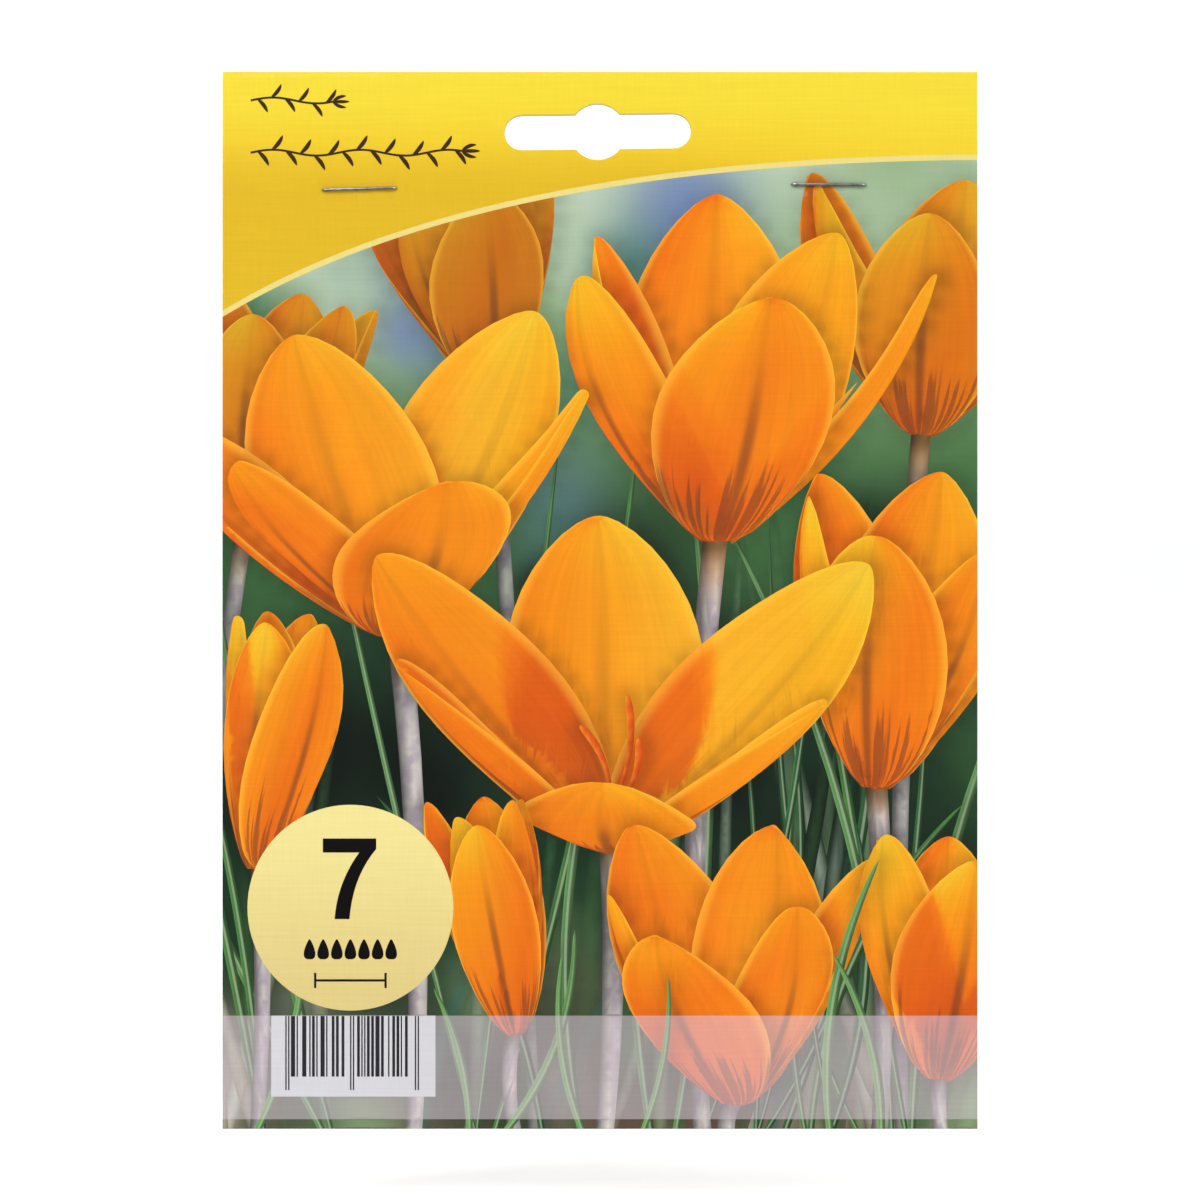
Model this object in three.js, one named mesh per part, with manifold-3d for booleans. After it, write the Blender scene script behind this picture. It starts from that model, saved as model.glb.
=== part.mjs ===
// A hanging packet of crocus bulbs: a printed card folded over the mouth of a clear bag, two staples
// that hold card and bag together, and seven corms lying in the bottom of the bag.
// Millimetres, +Z up, printed face towards -Y. The origin is where a peg carries the packet: the top
// of the round bump in the hanging slot, midway between the card's two layers.
import * as THREE from 'three';
import { mergeVertices } from 'three/addons/utils/BufferGeometryUtils.js';
import Module from 'manifold-3d';

const wasm = await Module();
wasm.setup();

const DEGREE = Math.PI / 180;

// Card: the front panel is full height, the flap behind is what is left after the fold
const CARD_WIDTH = 128.7;
const CARD_HEIGHT = 180.3;
const BOARD = 0.45;
const FLAP_DEPTH = 30;
const MOUTH_ROOM = 0.8; // between the front panel and the flap

// Hanging slot, punched a little left of the card's middle line and a little askew
const SLOT_LENGTH = 31.75;
const SLOT_HEIGHT = 5.9;
const SLOT_BUMP = 9.525;
const SLOT_DROP = 10.35; // its centre below the card's top edge
const SLOT_SHIFT = 0.4;
const SLOT_TILT = 0.7 * DEGREE;

// Bag: drops are measured down from the card's top edge
const BAG_WIDTH = 118;
const BAG_TOP_DROP = 16.3;
const BAG_BOTTOM_DROP = 176.8;
const WELD = 5; // flat welded seam along the bottom
const FILM = 0.3;
const FLAT_FILM = 0.4; // both films together where they lie flat on each other
const FILM_GAP = 0.2; // between the bag and the card
const LIFT_OFF = 5; // the back film leaves the card this far below the flap
const WAIST = 4.5; // how far the bag's edges are drawn in beside the corms
const WAIST_DROP = 145;
const WAIST_SPREAD = 35;
const VENT = 6; // diameter of the punched air holes
const VENT_SIDE = 30;
const VENT_DROPS = [50, 80, 110];

// Staples
const CROWN = 13;
const WIRE = 0.6;
const LEG_END = 2.4; // how near a clinched leg's tip comes to the staple's middle
const LEG_ROOM = 0.3; // round each leg where it goes through card and film
const STAPLE_GAP = 0.1; // between wire and card
const STAPLES = [
  { name: 'staple_left', x: -41.0, drop: 20.1, tilt: 1.6 * DEGREE },
  { name: 'staple_right', x: 39.0, drop: 19.35, tilt: -0.3 * DEGREE },
];

// Corms: girth round the middle in mm, place of the centre, and which way the shoot points
const FLATNESS = 0.8; // height of a corm's body over its width
const SHOOT = 5.6;
const SHOOT_RADIUS = 2.4;
const CORM_ROOM = 0.4; // between a corm and the front film
const TENT_ROOM = 1.8; // between a corm and the outside of the back film
const CORMS = [
  { girth: 76, x: -36.8, z: -149.4, points: [-0.5, 0.3, 0.81], shoots: 1 },
  { girth: 72, x: -12.7, z: -150.0, points: [0.1, 0.95, 0.3], shoots: 2 },
  { girth: 79, x: 11.9, z: -149.0, points: [0.2, -0.9, -0.3], shoots: 1 },
  { girth: 74, x: 36.8, z: -149.6, points: [0.62, 0.25, 0.74], shoots: 1 },
  { girth: 71, x: -25.2, z: -128.6, points: [-0.2, 0.15, 0.97], shoots: 2 },
  { girth: 77, x: -0.6, z: -127.4, points: [0.25, 0.55, 0.8], shoots: 1 },
  { girth: 73, x: 24.2, z: -128.0, points: [0.75, 0.3, 0.59], shoots: 1 },
];

// Worked out from the sizes above
const TOP = SLOT_DROP - SLOT_BUMP / 2;
const drop = (distance) => TOP - distance;
const OUTER = MOUTH_ROOM / 2 + BOARD; // half the thickness of the folded card
const INNER = MOUTH_ROOM / 2;
const BAG_FRONT = -INNER + FILM_GAP;
const LEG = (CROWN - WIRE) / 2;

// A closed mesh as a solid that can be joined and cut, and back again
function solidOf(geometry) {
  const bare = geometry.clone();
  bare.deleteAttribute('normal');
  bare.deleteAttribute('uv');
  const merged = mergeVertices(bare, 1e-4);
  return new wasm.Manifold(
    new wasm.Mesh({
      numProp: 3,
      vertProperties: merged.attributes.position.array,
      triVerts: new Uint32Array(merged.index.array),
    }),
  );
}

function geometryOf(solid) {
  const mesh = solid.getMesh();
  const geometry = new THREE.BufferGeometry();
  geometry.setAttribute('position', new THREE.BufferAttribute(mesh.vertProperties, 3));
  geometry.setIndex(new THREE.BufferAttribute(mesh.triVerts, 1));
  const loose = geometry.toNonIndexed();
  loose.computeVertexNormals();
  return loose;
}

// An outline drawn in X and Z, run along Y from one depth to another
function alongY(outline, from, to) {
  return new THREE.ExtrudeGeometry(outline, { depth: to - from, bevelEnabled: false, curveSegments: 10 })
    .rotateX(Math.PI / 2)
    .translate(0, to, 0);
}

// Holes for the staples' legs, through everything they pass
function legHoles() {
  const holes = [];
  for (const { x, drop: down, tilt } of STAPLES) {
    for (const side of [-LEG, LEG]) {
      const hole = new THREE.CylinderGeometry(WIRE / 2 + LEG_ROOM, WIRE / 2 + LEG_ROOM, 4 * OUTER, 12);
      hole.translate(x + side * Math.cos(tilt), 0, drop(down) + side * Math.sin(tilt));
      holes.push(solidOf(hole));
    }
  }
  return holes;
}

// The card's section, front panel, fold and flap, drawn in Y and Z
function cardSection() {
  const fold = TOP - OUTER;
  const section = new THREE.Shape();
  section.moveTo(-OUTER, drop(CARD_HEIGHT));
  section.lineTo(-INNER, drop(CARD_HEIGHT));
  section.lineTo(-INNER, fold);
  section.absarc(0, fold, INNER, Math.PI, 0, true);
  section.lineTo(INNER, drop(FLAP_DEPTH));
  section.lineTo(OUTER, drop(FLAP_DEPTH));
  section.lineTo(OUTER, fold);
  section.absarc(0, fold, OUTER, 0, Math.PI, false);
  return section;
}

// The hanging slot: a long round-ended hole with a round bump above and below its middle
function slotOutline() {
  const r = SLOT_HEIGHT / 2;
  const bump = SLOT_BUMP / 2;
  const end = SLOT_LENGTH / 2 - r;
  const shoulder = Math.asin(r / bump);
  const outline = new THREE.Shape();
  outline.absarc(end, 0, r, -Math.PI / 2, Math.PI / 2, false);
  outline.absarc(0, 0, bump, shoulder, Math.PI - shoulder, false);
  outline.absarc(-end, 0, r, Math.PI / 2, 1.5 * Math.PI, false);
  outline.absarc(0, 0, bump, Math.PI + shoulder, 2 * Math.PI - shoulder, false);
  return outline;
}

function cardGeometry() {
  const yzAlongX = new THREE.Matrix4().makeBasis(
    new THREE.Vector3(0, 1, 0),
    new THREE.Vector3(0, 0, 1),
    new THREE.Vector3(1, 0, 0),
  );
  const folded = new THREE.ExtrudeGeometry(cardSection(), {
    depth: CARD_WIDTH,
    bevelEnabled: false,
    curveSegments: 8,
  })
    .applyMatrix4(yzAlongX)
    .translate(-CARD_WIDTH / 2, 0, 0);
  const slot = alongY(slotOutline(), -2 * OUTER, 2 * OUTER)
    .rotateY(-SLOT_TILT)
    .translate(-SLOT_SHIFT, 0, drop(SLOT_DROP));
  let card = solidOf(folded).subtract(solidOf(slot));
  for (const hole of legHoles()) card = card.subtract(hole);
  return geometryOf(card);
}

// A corm's own sizes and place. It lies against the bag's front film, so its depth follows its turn.
function placedCorm({ girth, x, z, points }) {
  const radius = girth / (2 * Math.PI);
  const half = radius * FLATNESS;
  const axis = new THREE.Vector3(...points).normalize();
  const bodyReach = Math.hypot(radius * Math.sqrt(1 - axis.y ** 2), half * axis.y);
  const shootReach = -axis.y * (half + SHOOT) + SHOOT_RADIUS * Math.sqrt(1 - axis.y ** 2);
  const y = BAG_FRONT + FILM + CORM_ROOM + Math.max(bodyReach, shootReach);
  return { radius, half, axis, centre: new THREE.Vector3(x, y, z) };
}

// How far back an ellipsoid of revolution reaches at x, z: its wide radius, its half length along
// its axis. Nothing is there when the line misses it.
function backReach(centre, axis, wide, long, x, z) {
  const u = new THREE.Vector3(x - centre.x, 0, z - centre.z);
  const k = 1 / long ** 2 - 1 / wide ** 2;
  const along = u.dot(axis);
  const a = 1 / wide ** 2 + k * axis.y ** 2;
  const b = 2 * k * along * axis.y;
  const c = u.lengthSq() / wide ** 2 + k * along ** 2 - 1;
  const inside = b * b - 4 * a * c;
  return inside < 0 ? -Infinity : centre.y + (Math.sqrt(inside) - b) / (2 * a);
}

// How far the film has to stand back at x, z to clear every corm and its shoot
function cormDepth(corms, x, z) {
  let depth = -Infinity;
  for (const { radius, half, axis, centre } of corms) {
    const nose = centre.clone().addScaledVector(axis, half + 1);
    depth = Math.max(
      depth,
      backReach(centre, axis, radius + TENT_ROOM, half + TENT_ROOM, x, z),
      backReach(nose, axis, SHOOT_RADIUS + TENT_ROOM, SHOOT + TENT_ROOM, x, z),
    );
  }
  return depth;
}

// The back film, drawn tight from the bag's edges over the corms: a grid of places and depths, its
// rows closer together beside the corms than above them
const COLUMNS = 30;
const ROWS = 38;
const LOW_PITCH = 0.6; // the lowest rows' spacing over the average
const SWEEPS = 600;

function halfWidth(z) {
  return BAG_WIDTH / 2 - WAIST * Math.exp(-(((z - drop(WAIST_DROP)) / WAIST_SPREAD) ** 2));
}

function backFilm(corms) {
  const bottom = drop(BAG_BOTTOM_DROP);
  const height = drop(BAG_TOP_DROP) - bottom;
  const flat = BAG_FRONT + FLAT_FILM;
  const grid = [];
  for (let j = 0; j <= ROWS; j++) {
    const v = j / ROWS;
    const z = bottom + height * (LOW_PITCH * v + (1 - LOW_PITCH) * v * v);
    const welded = z < bottom + WELD || z > drop(FLAP_DEPTH) - LIFT_OFF;
    grid.push([]);
    for (let i = 0; i <= COLUMNS; i++) {
      const x = ((2 * i) / COLUMNS - 1) * halfWidth(z);
      const held = welded || i === 0 || i === COLUMNS;
      const least = held ? flat : Math.max(flat, cormDepth(corms, x, z));
      grid[j].push({ x, z, y: least, least, held });
    }
  }
  for (let sweep = 0; sweep < SWEEPS; sweep++) {
    for (let j = 1; j < ROWS; j++) {
      for (let i = 1; i < COLUMNS; i++) {
        const here = grid[j][i];
        if (here.held) continue;
        const across = 1 / (grid[j][i + 1].x - here.x) ** 2;
        const up = 1 / (grid[j + 1][i].z - here.z) ** 2;
        const beside = grid[j][i - 1].y + grid[j][i + 1].y;
        const overAndUnder = grid[j - 1][i].y + grid[j + 1][i].y;
        const taut = (across * beside + up * overAndUnder) / (2 * (across + up));
        here.y = Math.max(here.least, taut);
      }
    }
  }
  return grid;
}

// The space in front of the back film, from a flat floor to the film sunk by a wall's thickness
function underFilm(grid, floor, wall) {
  const positions = [];
  const index = [];
  const place = (i, j) => j * (COLUMNS + 1) + i;
  for (let j = 0; j <= ROWS; j++) {
    for (let i = 0; i <= COLUMNS; i++) {
      const { x, y, z } = grid[j][i];
      const west = grid[j][Math.max(i - 1, 0)];
      const east = grid[j][Math.min(i + 1, COLUMNS)];
      const south = grid[Math.max(j - 1, 0)][i];
      const north = grid[Math.min(j + 1, ROWS)][i];
      const slopeX = (east.y - west.y) / (east.x - west.x);
      const slopeZ = (north.y - south.y) / (north.z - south.z);
      positions.push(x, y - wall * Math.hypot(1, slopeX, slopeZ), z);
    }
  }
  for (let j = 0; j < ROWS; j++) {
    for (let i = 0; i < COLUMNS; i++) {
      index.push(place(i, j), place(i, j + 1), place(i + 1, j));
      index.push(place(i + 1, j), place(i, j + 1), place(i + 1, j + 1));
    }
  }
  const rim = [];
  for (let i = 0; i < COLUMNS; i++) rim.push(place(i, 0));
  for (let j = 0; j < ROWS; j++) rim.push(place(COLUMNS, j));
  for (let i = COLUMNS; i > 0; i--) rim.push(place(i, ROWS));
  for (let j = ROWS; j > 0; j--) rim.push(place(0, j));
  const first = positions.length / 3;
  for (const back of rim) positions.push(positions[3 * back], floor, positions[3 * back + 2]);
  const hub = positions.length / 3;
  positions.push(0, floor, (drop(BAG_TOP_DROP) + drop(BAG_BOTTOM_DROP)) / 2);
  rim.forEach((back, n) => {
    const next = (n + 1) % rim.length;
    index.push(first + n, back, first + next);
    index.push(first + next, back, rim[next]);
    index.push(hub, first + n, first + next);
  });
  const geometry = new THREE.BufferGeometry();
  geometry.setAttribute('position', new THREE.Float32BufferAttribute(positions, 3));
  geometry.setIndex(index);
  return solidOf(geometry);
}

// The bag: welded flat at its bottom and its mouth, open to the air through punched vents
function bagGeometry(corms) {
  const grid = backFilm(corms);
  const deep = 60; // past the bag's back
  const room = new THREE.BoxGeometry(2 * BAG_WIDTH, deep, 2 * CARD_HEIGHT)
    .translate(0, BAG_FRONT + FILM + deep / 2, -CARD_HEIGHT / 2);
  const hollow = underFilm(grid, -deep, FILM).intersect(solidOf(room));
  let bag = underFilm(grid, BAG_FRONT, 0).subtract(hollow);
  for (const down of VENT_DROPS) {
    for (const side of [-VENT_SIDE, VENT_SIDE]) {
      const vent = new THREE.CylinderGeometry(VENT / 2, VENT / 2, deep, 16);
      bag = bag.subtract(solidOf(vent.translate(side, 0, drop(down))));
    }
  }
  for (const hole of legHoles()) bag = bag.subtract(hole);
  return geometryOf(bag);
}

// A shoot's outline for turning about Y, from its foot at a height to its tip
function shootProfile(from, length) {
  return [
    new THREE.Vector2(SHOOT_RADIUS, from),
    new THREE.Vector2(SHOOT_RADIUS * 0.85, from + length * 0.45),
    new THREE.Vector2(SHOOT_RADIUS * 0.45, from + length * 0.85),
    new THREE.Vector2(0, from + length),
  ];
}

// A corm: a squat, slightly oval body on a flat base, drawn in at the neck to its pale shoot, some
// with a second, shorter shoot beside it
const OVAL = 0.02;
const SIDE_SHOOT = 3.6;
const SIDE_SHOOT_FOOT = -2;
const SIDE_SHOOT_LEAN = 20 * DEGREE;

function cormGeometry({ radius, half }, shoots, turn) {
  const profile = [new THREE.Vector2(0, -0.86 * half), new THREE.Vector2(0.34 * radius, -0.93 * half)];
  for (let angle = -56; angle <= 64; angle += 20) {
    profile.push(new THREE.Vector2(radius * Math.cos(angle * DEGREE), half * Math.sin(angle * DEGREE)));
  }
  profile.push(...shootProfile(half, SHOOT));
  const body = new THREE.LatheGeometry(profile, 18);
  const position = body.attributes.position;
  for (let n = 0; n < position.count; n++) {
    const x = position.getX(n);
    const z = position.getZ(n);
    const round = 1 - OVAL - OVAL * Math.cos(2 * Math.atan2(z, x) + turn);
    position.setX(n, x * round);
    position.setZ(n, z * round);
  }
  if (shoots === 1) return body;
  const sideProfile = [
    new THREE.Vector2(0, SIDE_SHOOT_FOOT),
    new THREE.Vector2(SHOOT_RADIUS, SIDE_SHOOT_FOOT),
    ...shootProfile(0, SIDE_SHOOT),
  ];
  const side = new THREE.LatheGeometry(sideProfile, 10)
    .rotateZ(-SIDE_SHOOT_LEAN)
    .translate(0.45 * radius, 0.84 * half, 0);
  return geometryOf(solidOf(body).add(solidOf(side)));
}

// A path through the given corners, each corner rounded
function roundedPath(corners, radius) {
  const path = new THREE.CurvePath();
  let from = corners[0];
  for (let n = 1; n < corners.length - 1; n++) {
    const corner = corners[n];
    const before = corner.clone().add(from.clone().sub(corner).setLength(radius));
    const after = corner.clone().add(corners[n + 1].clone().sub(corner).setLength(radius));
    path.add(new THREE.LineCurve3(from, before));
    path.add(new THREE.QuadraticBezierCurve3(before, corner, after));
    from = after;
  }
  path.add(new THREE.LineCurve3(from, corners[corners.length - 1]));
  return path;
}

// A staple, its crown along X in front of the card and its legs clinched inwards behind the flap
function stapleGeometry() {
  const front = -OUTER - STAPLE_GAP - WIRE / 2;
  const back = -front;
  const tip = back + WIRE / 4;
  const path = roundedPath(
    [
      new THREE.Vector3(-LEG_END, tip, 0),
      new THREE.Vector3(-LEG, back, 0),
      new THREE.Vector3(-LEG, front, 0),
      new THREE.Vector3(LEG, front, 0),
      new THREE.Vector3(LEG, back, 0),
      new THREE.Vector3(LEG_END, tip, 0),
    ],
    WIRE,
  );
  const section = new THREE.Shape().absarc(0, 0, WIRE / 2, 0, 2 * Math.PI, false);
  return new THREE.ExtrudeGeometry(section, { steps: 60, extrudePath: path, curveSegments: 4 });
}

const cardFinish = new THREE.MeshStandardMaterial({ color: '#f2a51f', roughness: 0.42, metalness: 0 });
const filmFinish = new THREE.MeshStandardMaterial({
  color: '#e4ebec',
  roughness: 0.15,
  metalness: 0,
  transparent: true,
  opacity: 0.35,
});
const cormFinish = new THREE.MeshStandardMaterial({ color: '#a8794a', roughness: 0.8, metalness: 0 });
const stapleFinish = new THREE.MeshStandardMaterial({ color: '#b9babb', roughness: 0.3, metalness: 1 });

const packet = new THREE.Group();
packet.position.x = SLOT_SHIFT;

function addPiece(name, geometry, finish) {
  const mesh = new THREE.Mesh(geometry, finish);
  mesh.name = name;
  packet.add(mesh);
  return mesh;
}

const placed = CORMS.map(placedCorm);
addPiece('card', cardGeometry(), cardFinish);
addPiece('bag', bagGeometry(placed), filmFinish);

placed.forEach((corm, n) => {
  const mesh = addPiece(`corm_${n + 1}`, cormGeometry(corm, CORMS[n].shoots, n), cormFinish);
  mesh.position.copy(corm.centre);
  mesh.quaternion.setFromUnitVectors(new THREE.Vector3(0, 1, 0), corm.axis);
});

for (const { name, x, drop: down, tilt } of STAPLES) {
  const mesh = addPiece(name, stapleGeometry(), stapleFinish);
  mesh.position.set(x, 0, drop(down));
  mesh.rotation.y = -tilt;
}

export default packet;
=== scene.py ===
"""A hanging packet of crocus bulbs, dressed for the render: the printed card, its staples, the clear
bag and the seven corms in it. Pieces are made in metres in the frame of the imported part, with +Z up
and the print facing -Y. The print is worked out in millimetres on the card laid flat."""

import math
import random

import bmesh
import bpy
import numpy as np
from mathutils import Matrix, Vector
from mathutils.bvhtree import BVHTree
from mathutils.geometry import convex_hull_2d, delaunay_2d_cdt
from mathutils.interpolate import poly_3d_calc


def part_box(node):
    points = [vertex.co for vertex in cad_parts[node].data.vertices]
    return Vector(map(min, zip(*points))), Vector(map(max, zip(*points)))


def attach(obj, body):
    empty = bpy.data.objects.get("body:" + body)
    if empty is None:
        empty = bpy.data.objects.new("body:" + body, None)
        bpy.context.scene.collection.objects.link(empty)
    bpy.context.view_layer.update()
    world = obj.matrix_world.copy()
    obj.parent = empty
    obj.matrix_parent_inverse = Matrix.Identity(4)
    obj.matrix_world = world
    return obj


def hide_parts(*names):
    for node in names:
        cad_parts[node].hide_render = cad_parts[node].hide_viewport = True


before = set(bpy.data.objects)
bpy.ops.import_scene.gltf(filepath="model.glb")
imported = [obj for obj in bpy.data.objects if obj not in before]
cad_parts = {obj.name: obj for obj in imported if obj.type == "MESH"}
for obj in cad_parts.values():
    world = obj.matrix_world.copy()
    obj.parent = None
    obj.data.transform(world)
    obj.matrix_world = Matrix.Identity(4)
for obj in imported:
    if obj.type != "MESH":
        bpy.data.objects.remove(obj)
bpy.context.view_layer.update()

# ---- The card, as a sheet ------------------------------------------------------------------------
# One piece of 0.45 mm folding board, printed and varnished on its outside, folded over the mouth of
# the bag. Laid flat, x runs across from its left edge and v up the front, over the fold and down the
# flap, both in millimetres.
MM = 0.001
card_low, card_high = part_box("card")
CARD_WIDTH = (card_high.x - card_low.x) / MM
CARD_HEIGHT = (card_high.z - card_low.z) / MM
HALF_STACK = -card_low.y / MM
BOARD = 0.45
FLAP_DEPTH = 30
FRONT = CARD_HEIGHT - HALF_STACK
FOLD = math.pi * HALF_STACK
SHEET = FRONT + FOLD + FLAP_DEPTH - HALF_STACK
SLOT_LENGTH, SLOT_HEIGHT, SLOT_BUMP, SLOT_DROP = 31.75, 5.9, 9.525, 10.35
SLOT_TILT = math.radians(0.7)
SLOT_X = -card_low.x / MM


def flap_v(height):
    """The place on the flap that lies behind a height above the card's bottom edge."""
    return FRONT + FOLD + (FRONT - height)


def arc_points(centre, radius, start, end, steps):
    angles = np.linspace(math.radians(start), math.radians(end), steps)
    return np.stack((centre[0] + radius * np.cos(angles), centre[1] + radius * np.sin(angles)), 1)


def slot_outline(room=0.0):
    """The hanging slot on the front panel, grown all round by a little room."""
    r, bump = SLOT_HEIGHT / 2 + room, SLOT_BUMP / 2 + room
    end, shoulder = SLOT_LENGTH / 2 + room - r, math.degrees(math.asin(r / bump))
    line = np.concatenate(
        (
            arc_points((end, 0), r, -90, 90, 14),
            arc_points((0, 0), bump, shoulder, 180 - shoulder, 14),
            arc_points((-end, 0), r, 90, 270, 14),
            arc_points((0, 0), bump, 180 + shoulder, 360 - shoulder, 14),
        )
    )
    turn = np.array(
        [[math.cos(SLOT_TILT), math.sin(SLOT_TILT)], [-math.sin(SLOT_TILT), math.cos(SLOT_TILT)]]
    )
    return line @ turn + (SLOT_X, CARD_HEIGHT - SLOT_DROP)


def on_flap(outline):
    behind = outline.copy()
    behind[:, 1] = flap_v(outline[:, 1])
    return behind[::-1]


# ---- The print: inks and how shapes are laid on the sheet ----------------------------------------
# Four-colour print under varnish. Each shape is an outline on the flat sheet with a way to work out
# its ink at any point; later shapes lie over earlier ones.
layers = []


def ink(*rgb):
    return np.array(rgb, float) / 255


def ramp(amount, stops):
    """Ink along a list of (place, ink) stops."""
    places = [place for place, _ in stops]
    inks = np.array([colour for _, colour in stops])
    return np.stack([np.interp(amount, places, inks[:, n]) for n in range(3)], 1)


def blend(first, second, share):
    share = np.clip(np.asarray(share, float), 0, 1)
    return first + (second - first) * (share[:, None] if share.ndim else share)


def smooth(amount, low, high):
    t = np.clip((amount - low) / (high - low), 0, 1)
    return t * t * (3 - 2 * t)


def lay(outline, paint=None, role="ink", casts=0.0, takes=0.0, creases=()):
    """Adds a shape. paint gives (ink, detail, flow) for points; detail is petal, streak, rib and wear.
    casts and takes say how strongly it shades what lies under it, and is shaded itself. Its ink may
    change sharply along its creases."""
    outline = np.asarray(outline, float)
    after = np.roll(outline, -1, axis=0)
    if (outline[:, 0] * after[:, 1] - outline[:, 1] * after[:, 0]).sum() < 0:
        outline = outline[::-1]
    layers.append(dict(outline=outline, paint=paint, role=role, casts=casts, takes=takes, creases=creases))


def plain(colours):
    """Ink that has no detail of its own and follows no shape."""
    return colours, np.zeros((len(colours), 4)), np.zeros((len(colours), 2))


def flat_paint(colour):
    def paint(points):
        return plain(np.tile(colour, (len(points), 1)))

    return paint


# ---- The print: ground, out-of-focus leaves and grass --------------------------------------------
# A blurred spring border behind the blooms: pale and cool at the top, deep green lower down, with
# soft strips of leaf.
MOSS, DEEP, NIGHT = ink(70, 116, 66), ink(30, 58, 38), ink(14, 20, 16)
SAGE, MIST, SKY = ink(140, 172, 124), ink(206, 222, 196), ink(112, 132, 190)
EARTH, STRAW, TEAL = ink(104, 84, 70), ink(196, 188, 170), ink(62, 112, 96)
draw = random.Random(71)
ground_spots = []
# Soft spots of light and dark in five bands: the band's height, how far it spreads, inks and count
for height, reach, inks, count in (
    (150, 16, (MIST, SAGE, MIST, SKY, TEAL), 26),
    (118, 18, (MOSS, DEEP, SKY, TEAL, MOSS), 22),
    (82, 18, (DEEP, NIGHT, MOSS, NIGHT), 26),
    (46, 18, (NIGHT, DEEP, NIGHT, MOSS, NIGHT), 28),
    (12, 14, (EARTH, STRAW, MOSS, SAGE, DEEP), 26),
):
    for n in range(count):
        place = (draw.uniform(-4, CARD_WIDTH + 4), height + draw.uniform(-reach, reach))
        size, strength = draw.uniform(3.5, 10), draw.uniform(0.35, 0.85)
        ground_spots.append((*place, size, strength, inks[n % len(inks)]))


def ground_ink(points):
    x, v = points[:, 0], points[:, 1]
    colour = ramp(v, [(0, EARTH), (30, DEEP), (70, DEEP), (105, MOSS), (140, SAGE), (170, MIST)])
    for centre_x, centre_v, size, strength, spot in ground_spots:
        away = ((x - centre_x) ** 2 + ((v - centre_v) / 1.3) ** 2) / size**2
        colour = blend(colour, spot, strength * np.exp(-away))
    return colour


def paint_ground(points):
    return plain(ground_ink(points))


MIDDLE_POINTS = 64  # how finely a blade's middle line is kept


class Blade:
    """A shape grown along a bent middle line from a foot to a tip: a petal, a leaf or a stem.
    flow() turns points on the sheet into how far along it they are and how far across."""

    def __init__(self, foot, tip, bow, width, profile, steps=22):
        foot, tip = np.array(foot, float), np.array(tip, float)
        chord = tip - foot
        side = np.array([chord[1], -chord[0]]) / np.linalg.norm(chord)
        bend = (foot + tip) / 2 + side * bow * 2
        self.t = np.linspace(0, 1, MIDDLE_POINTS)
        t = self.t[:, None]
        self.middle = foot * (1 - t) ** 2 + bend * 2 * t * (1 - t) + tip * t**2
        along = 2 * (1 - t) * (bend - foot) + 2 * t * (tip - bend)
        self.along = along / np.linalg.norm(along, axis=1, keepdims=True)
        self.side = np.stack((self.along[:, 1], -self.along[:, 0]), 1)
        self.width = width * profile(self.t)
        eased = (1 - np.cos(np.pi * np.arange(steps + 1) / steps)) / 2
        picked = (eased * (MIDDLE_POINTS - 1)).round().astype(int)
        right = self.middle[picked] + self.side[picked] * self.width[picked, None]
        left = (self.middle[picked] - self.side[picked] * self.width[picked, None])[::-1]
        pointed = self.width[-1] < 1e-3
        self.outline = np.concatenate((right, left[1:-1] if pointed else left))

    def flow(self, points):
        offset = points[:, None, :] - self.middle[None]
        nearest = (offset**2).sum(2).argmin(1)
        rows = np.arange(len(points))
        away = offset[rows, nearest]
        across = (away * self.side[nearest]).sum(1) / np.maximum(self.width[nearest], 0.15)
        return self.t[nearest], np.clip(across, -1, 1)


def strap(t):
    """A leaf's width along it: even, then drawn to a point."""
    return np.minimum(1, 0.55 + 1.5 * t) * np.sqrt(np.clip(1 - t**3, 0, 1))


def soft_leaf(foot, tip, bow, width, colour, strength):
    blade = Blade(foot, tip, bow, width, strap, 16)

    def paint(points):
        t, across = blade.flow(points)
        share = strength * (1 - np.abs(across) ** 1.6) * smooth(1 - t, 0, 0.35)
        return plain(blend(ground_ink(points), colour, share))

    lay(blade.outline, paint, takes=0.6)


def leaf(foot, tip, bow, width, colour):
    """A sharp crocus leaf: narrow, dark green, with a pale rib down its middle."""
    blade = Blade(foot, tip, bow, width, strap, 18)

    def paint(points):
        t, across = blade.flow(points)
        colour_here = blend(np.tile(colour * 0.62, (len(points), 1)), colour * 1.15, 0.5 - 0.5 * across)
        detail = np.zeros((len(points), 4))
        detail[:, 2] = 1 - t**4
        return np.clip(colour_here, 0, 1), detail, np.stack((t, across), 1)

    lay(blade.outline, paint, casts=0.5, takes=0.8)


# ---- The print: blooms ---------------------------------------------------------------------------
# Golden crocuses in this packet's own arrangement. Each bloom is a small model of six spoon-shaped
# petals, turned to the reader, lit, and laid on the sheet petal by petal from the back forwards.
GLOW, GOLD, AMBER = ink(255, 230, 84), ink(255, 192, 28), ink(255, 156, 12)
ORANGE, EMBER, UMBER = ink(248, 124, 6), ink(226, 92, 8), ink(176, 92, 14)
SUN = Vector((-0.5, 0.66, 0.56)).normalized()
HALF_WAY = (SUN + Vector((0, 0, 1))).normalized()
GOLDEN_ANGLE = 2.4
LONG, WIDE = 26, 12  # squares along and across a petal's net


def ray_fan(middle, spread):
    """Twelve directions in an even spiral round a middle one."""
    rays = []
    for n in range(12):
        turn, out = GOLDEN_ANGLE * n, spread * math.sqrt(n)
        rays.append((middle + Vector((out * math.cos(turn), out * math.sin(turn), 0))).normalized())
    return rays


SUN_RAYS, SKY_RAYS = ray_fan(SUN, 0.11), ray_fan(Vector((0, 0.25, 0.8)), 0.28)


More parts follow.
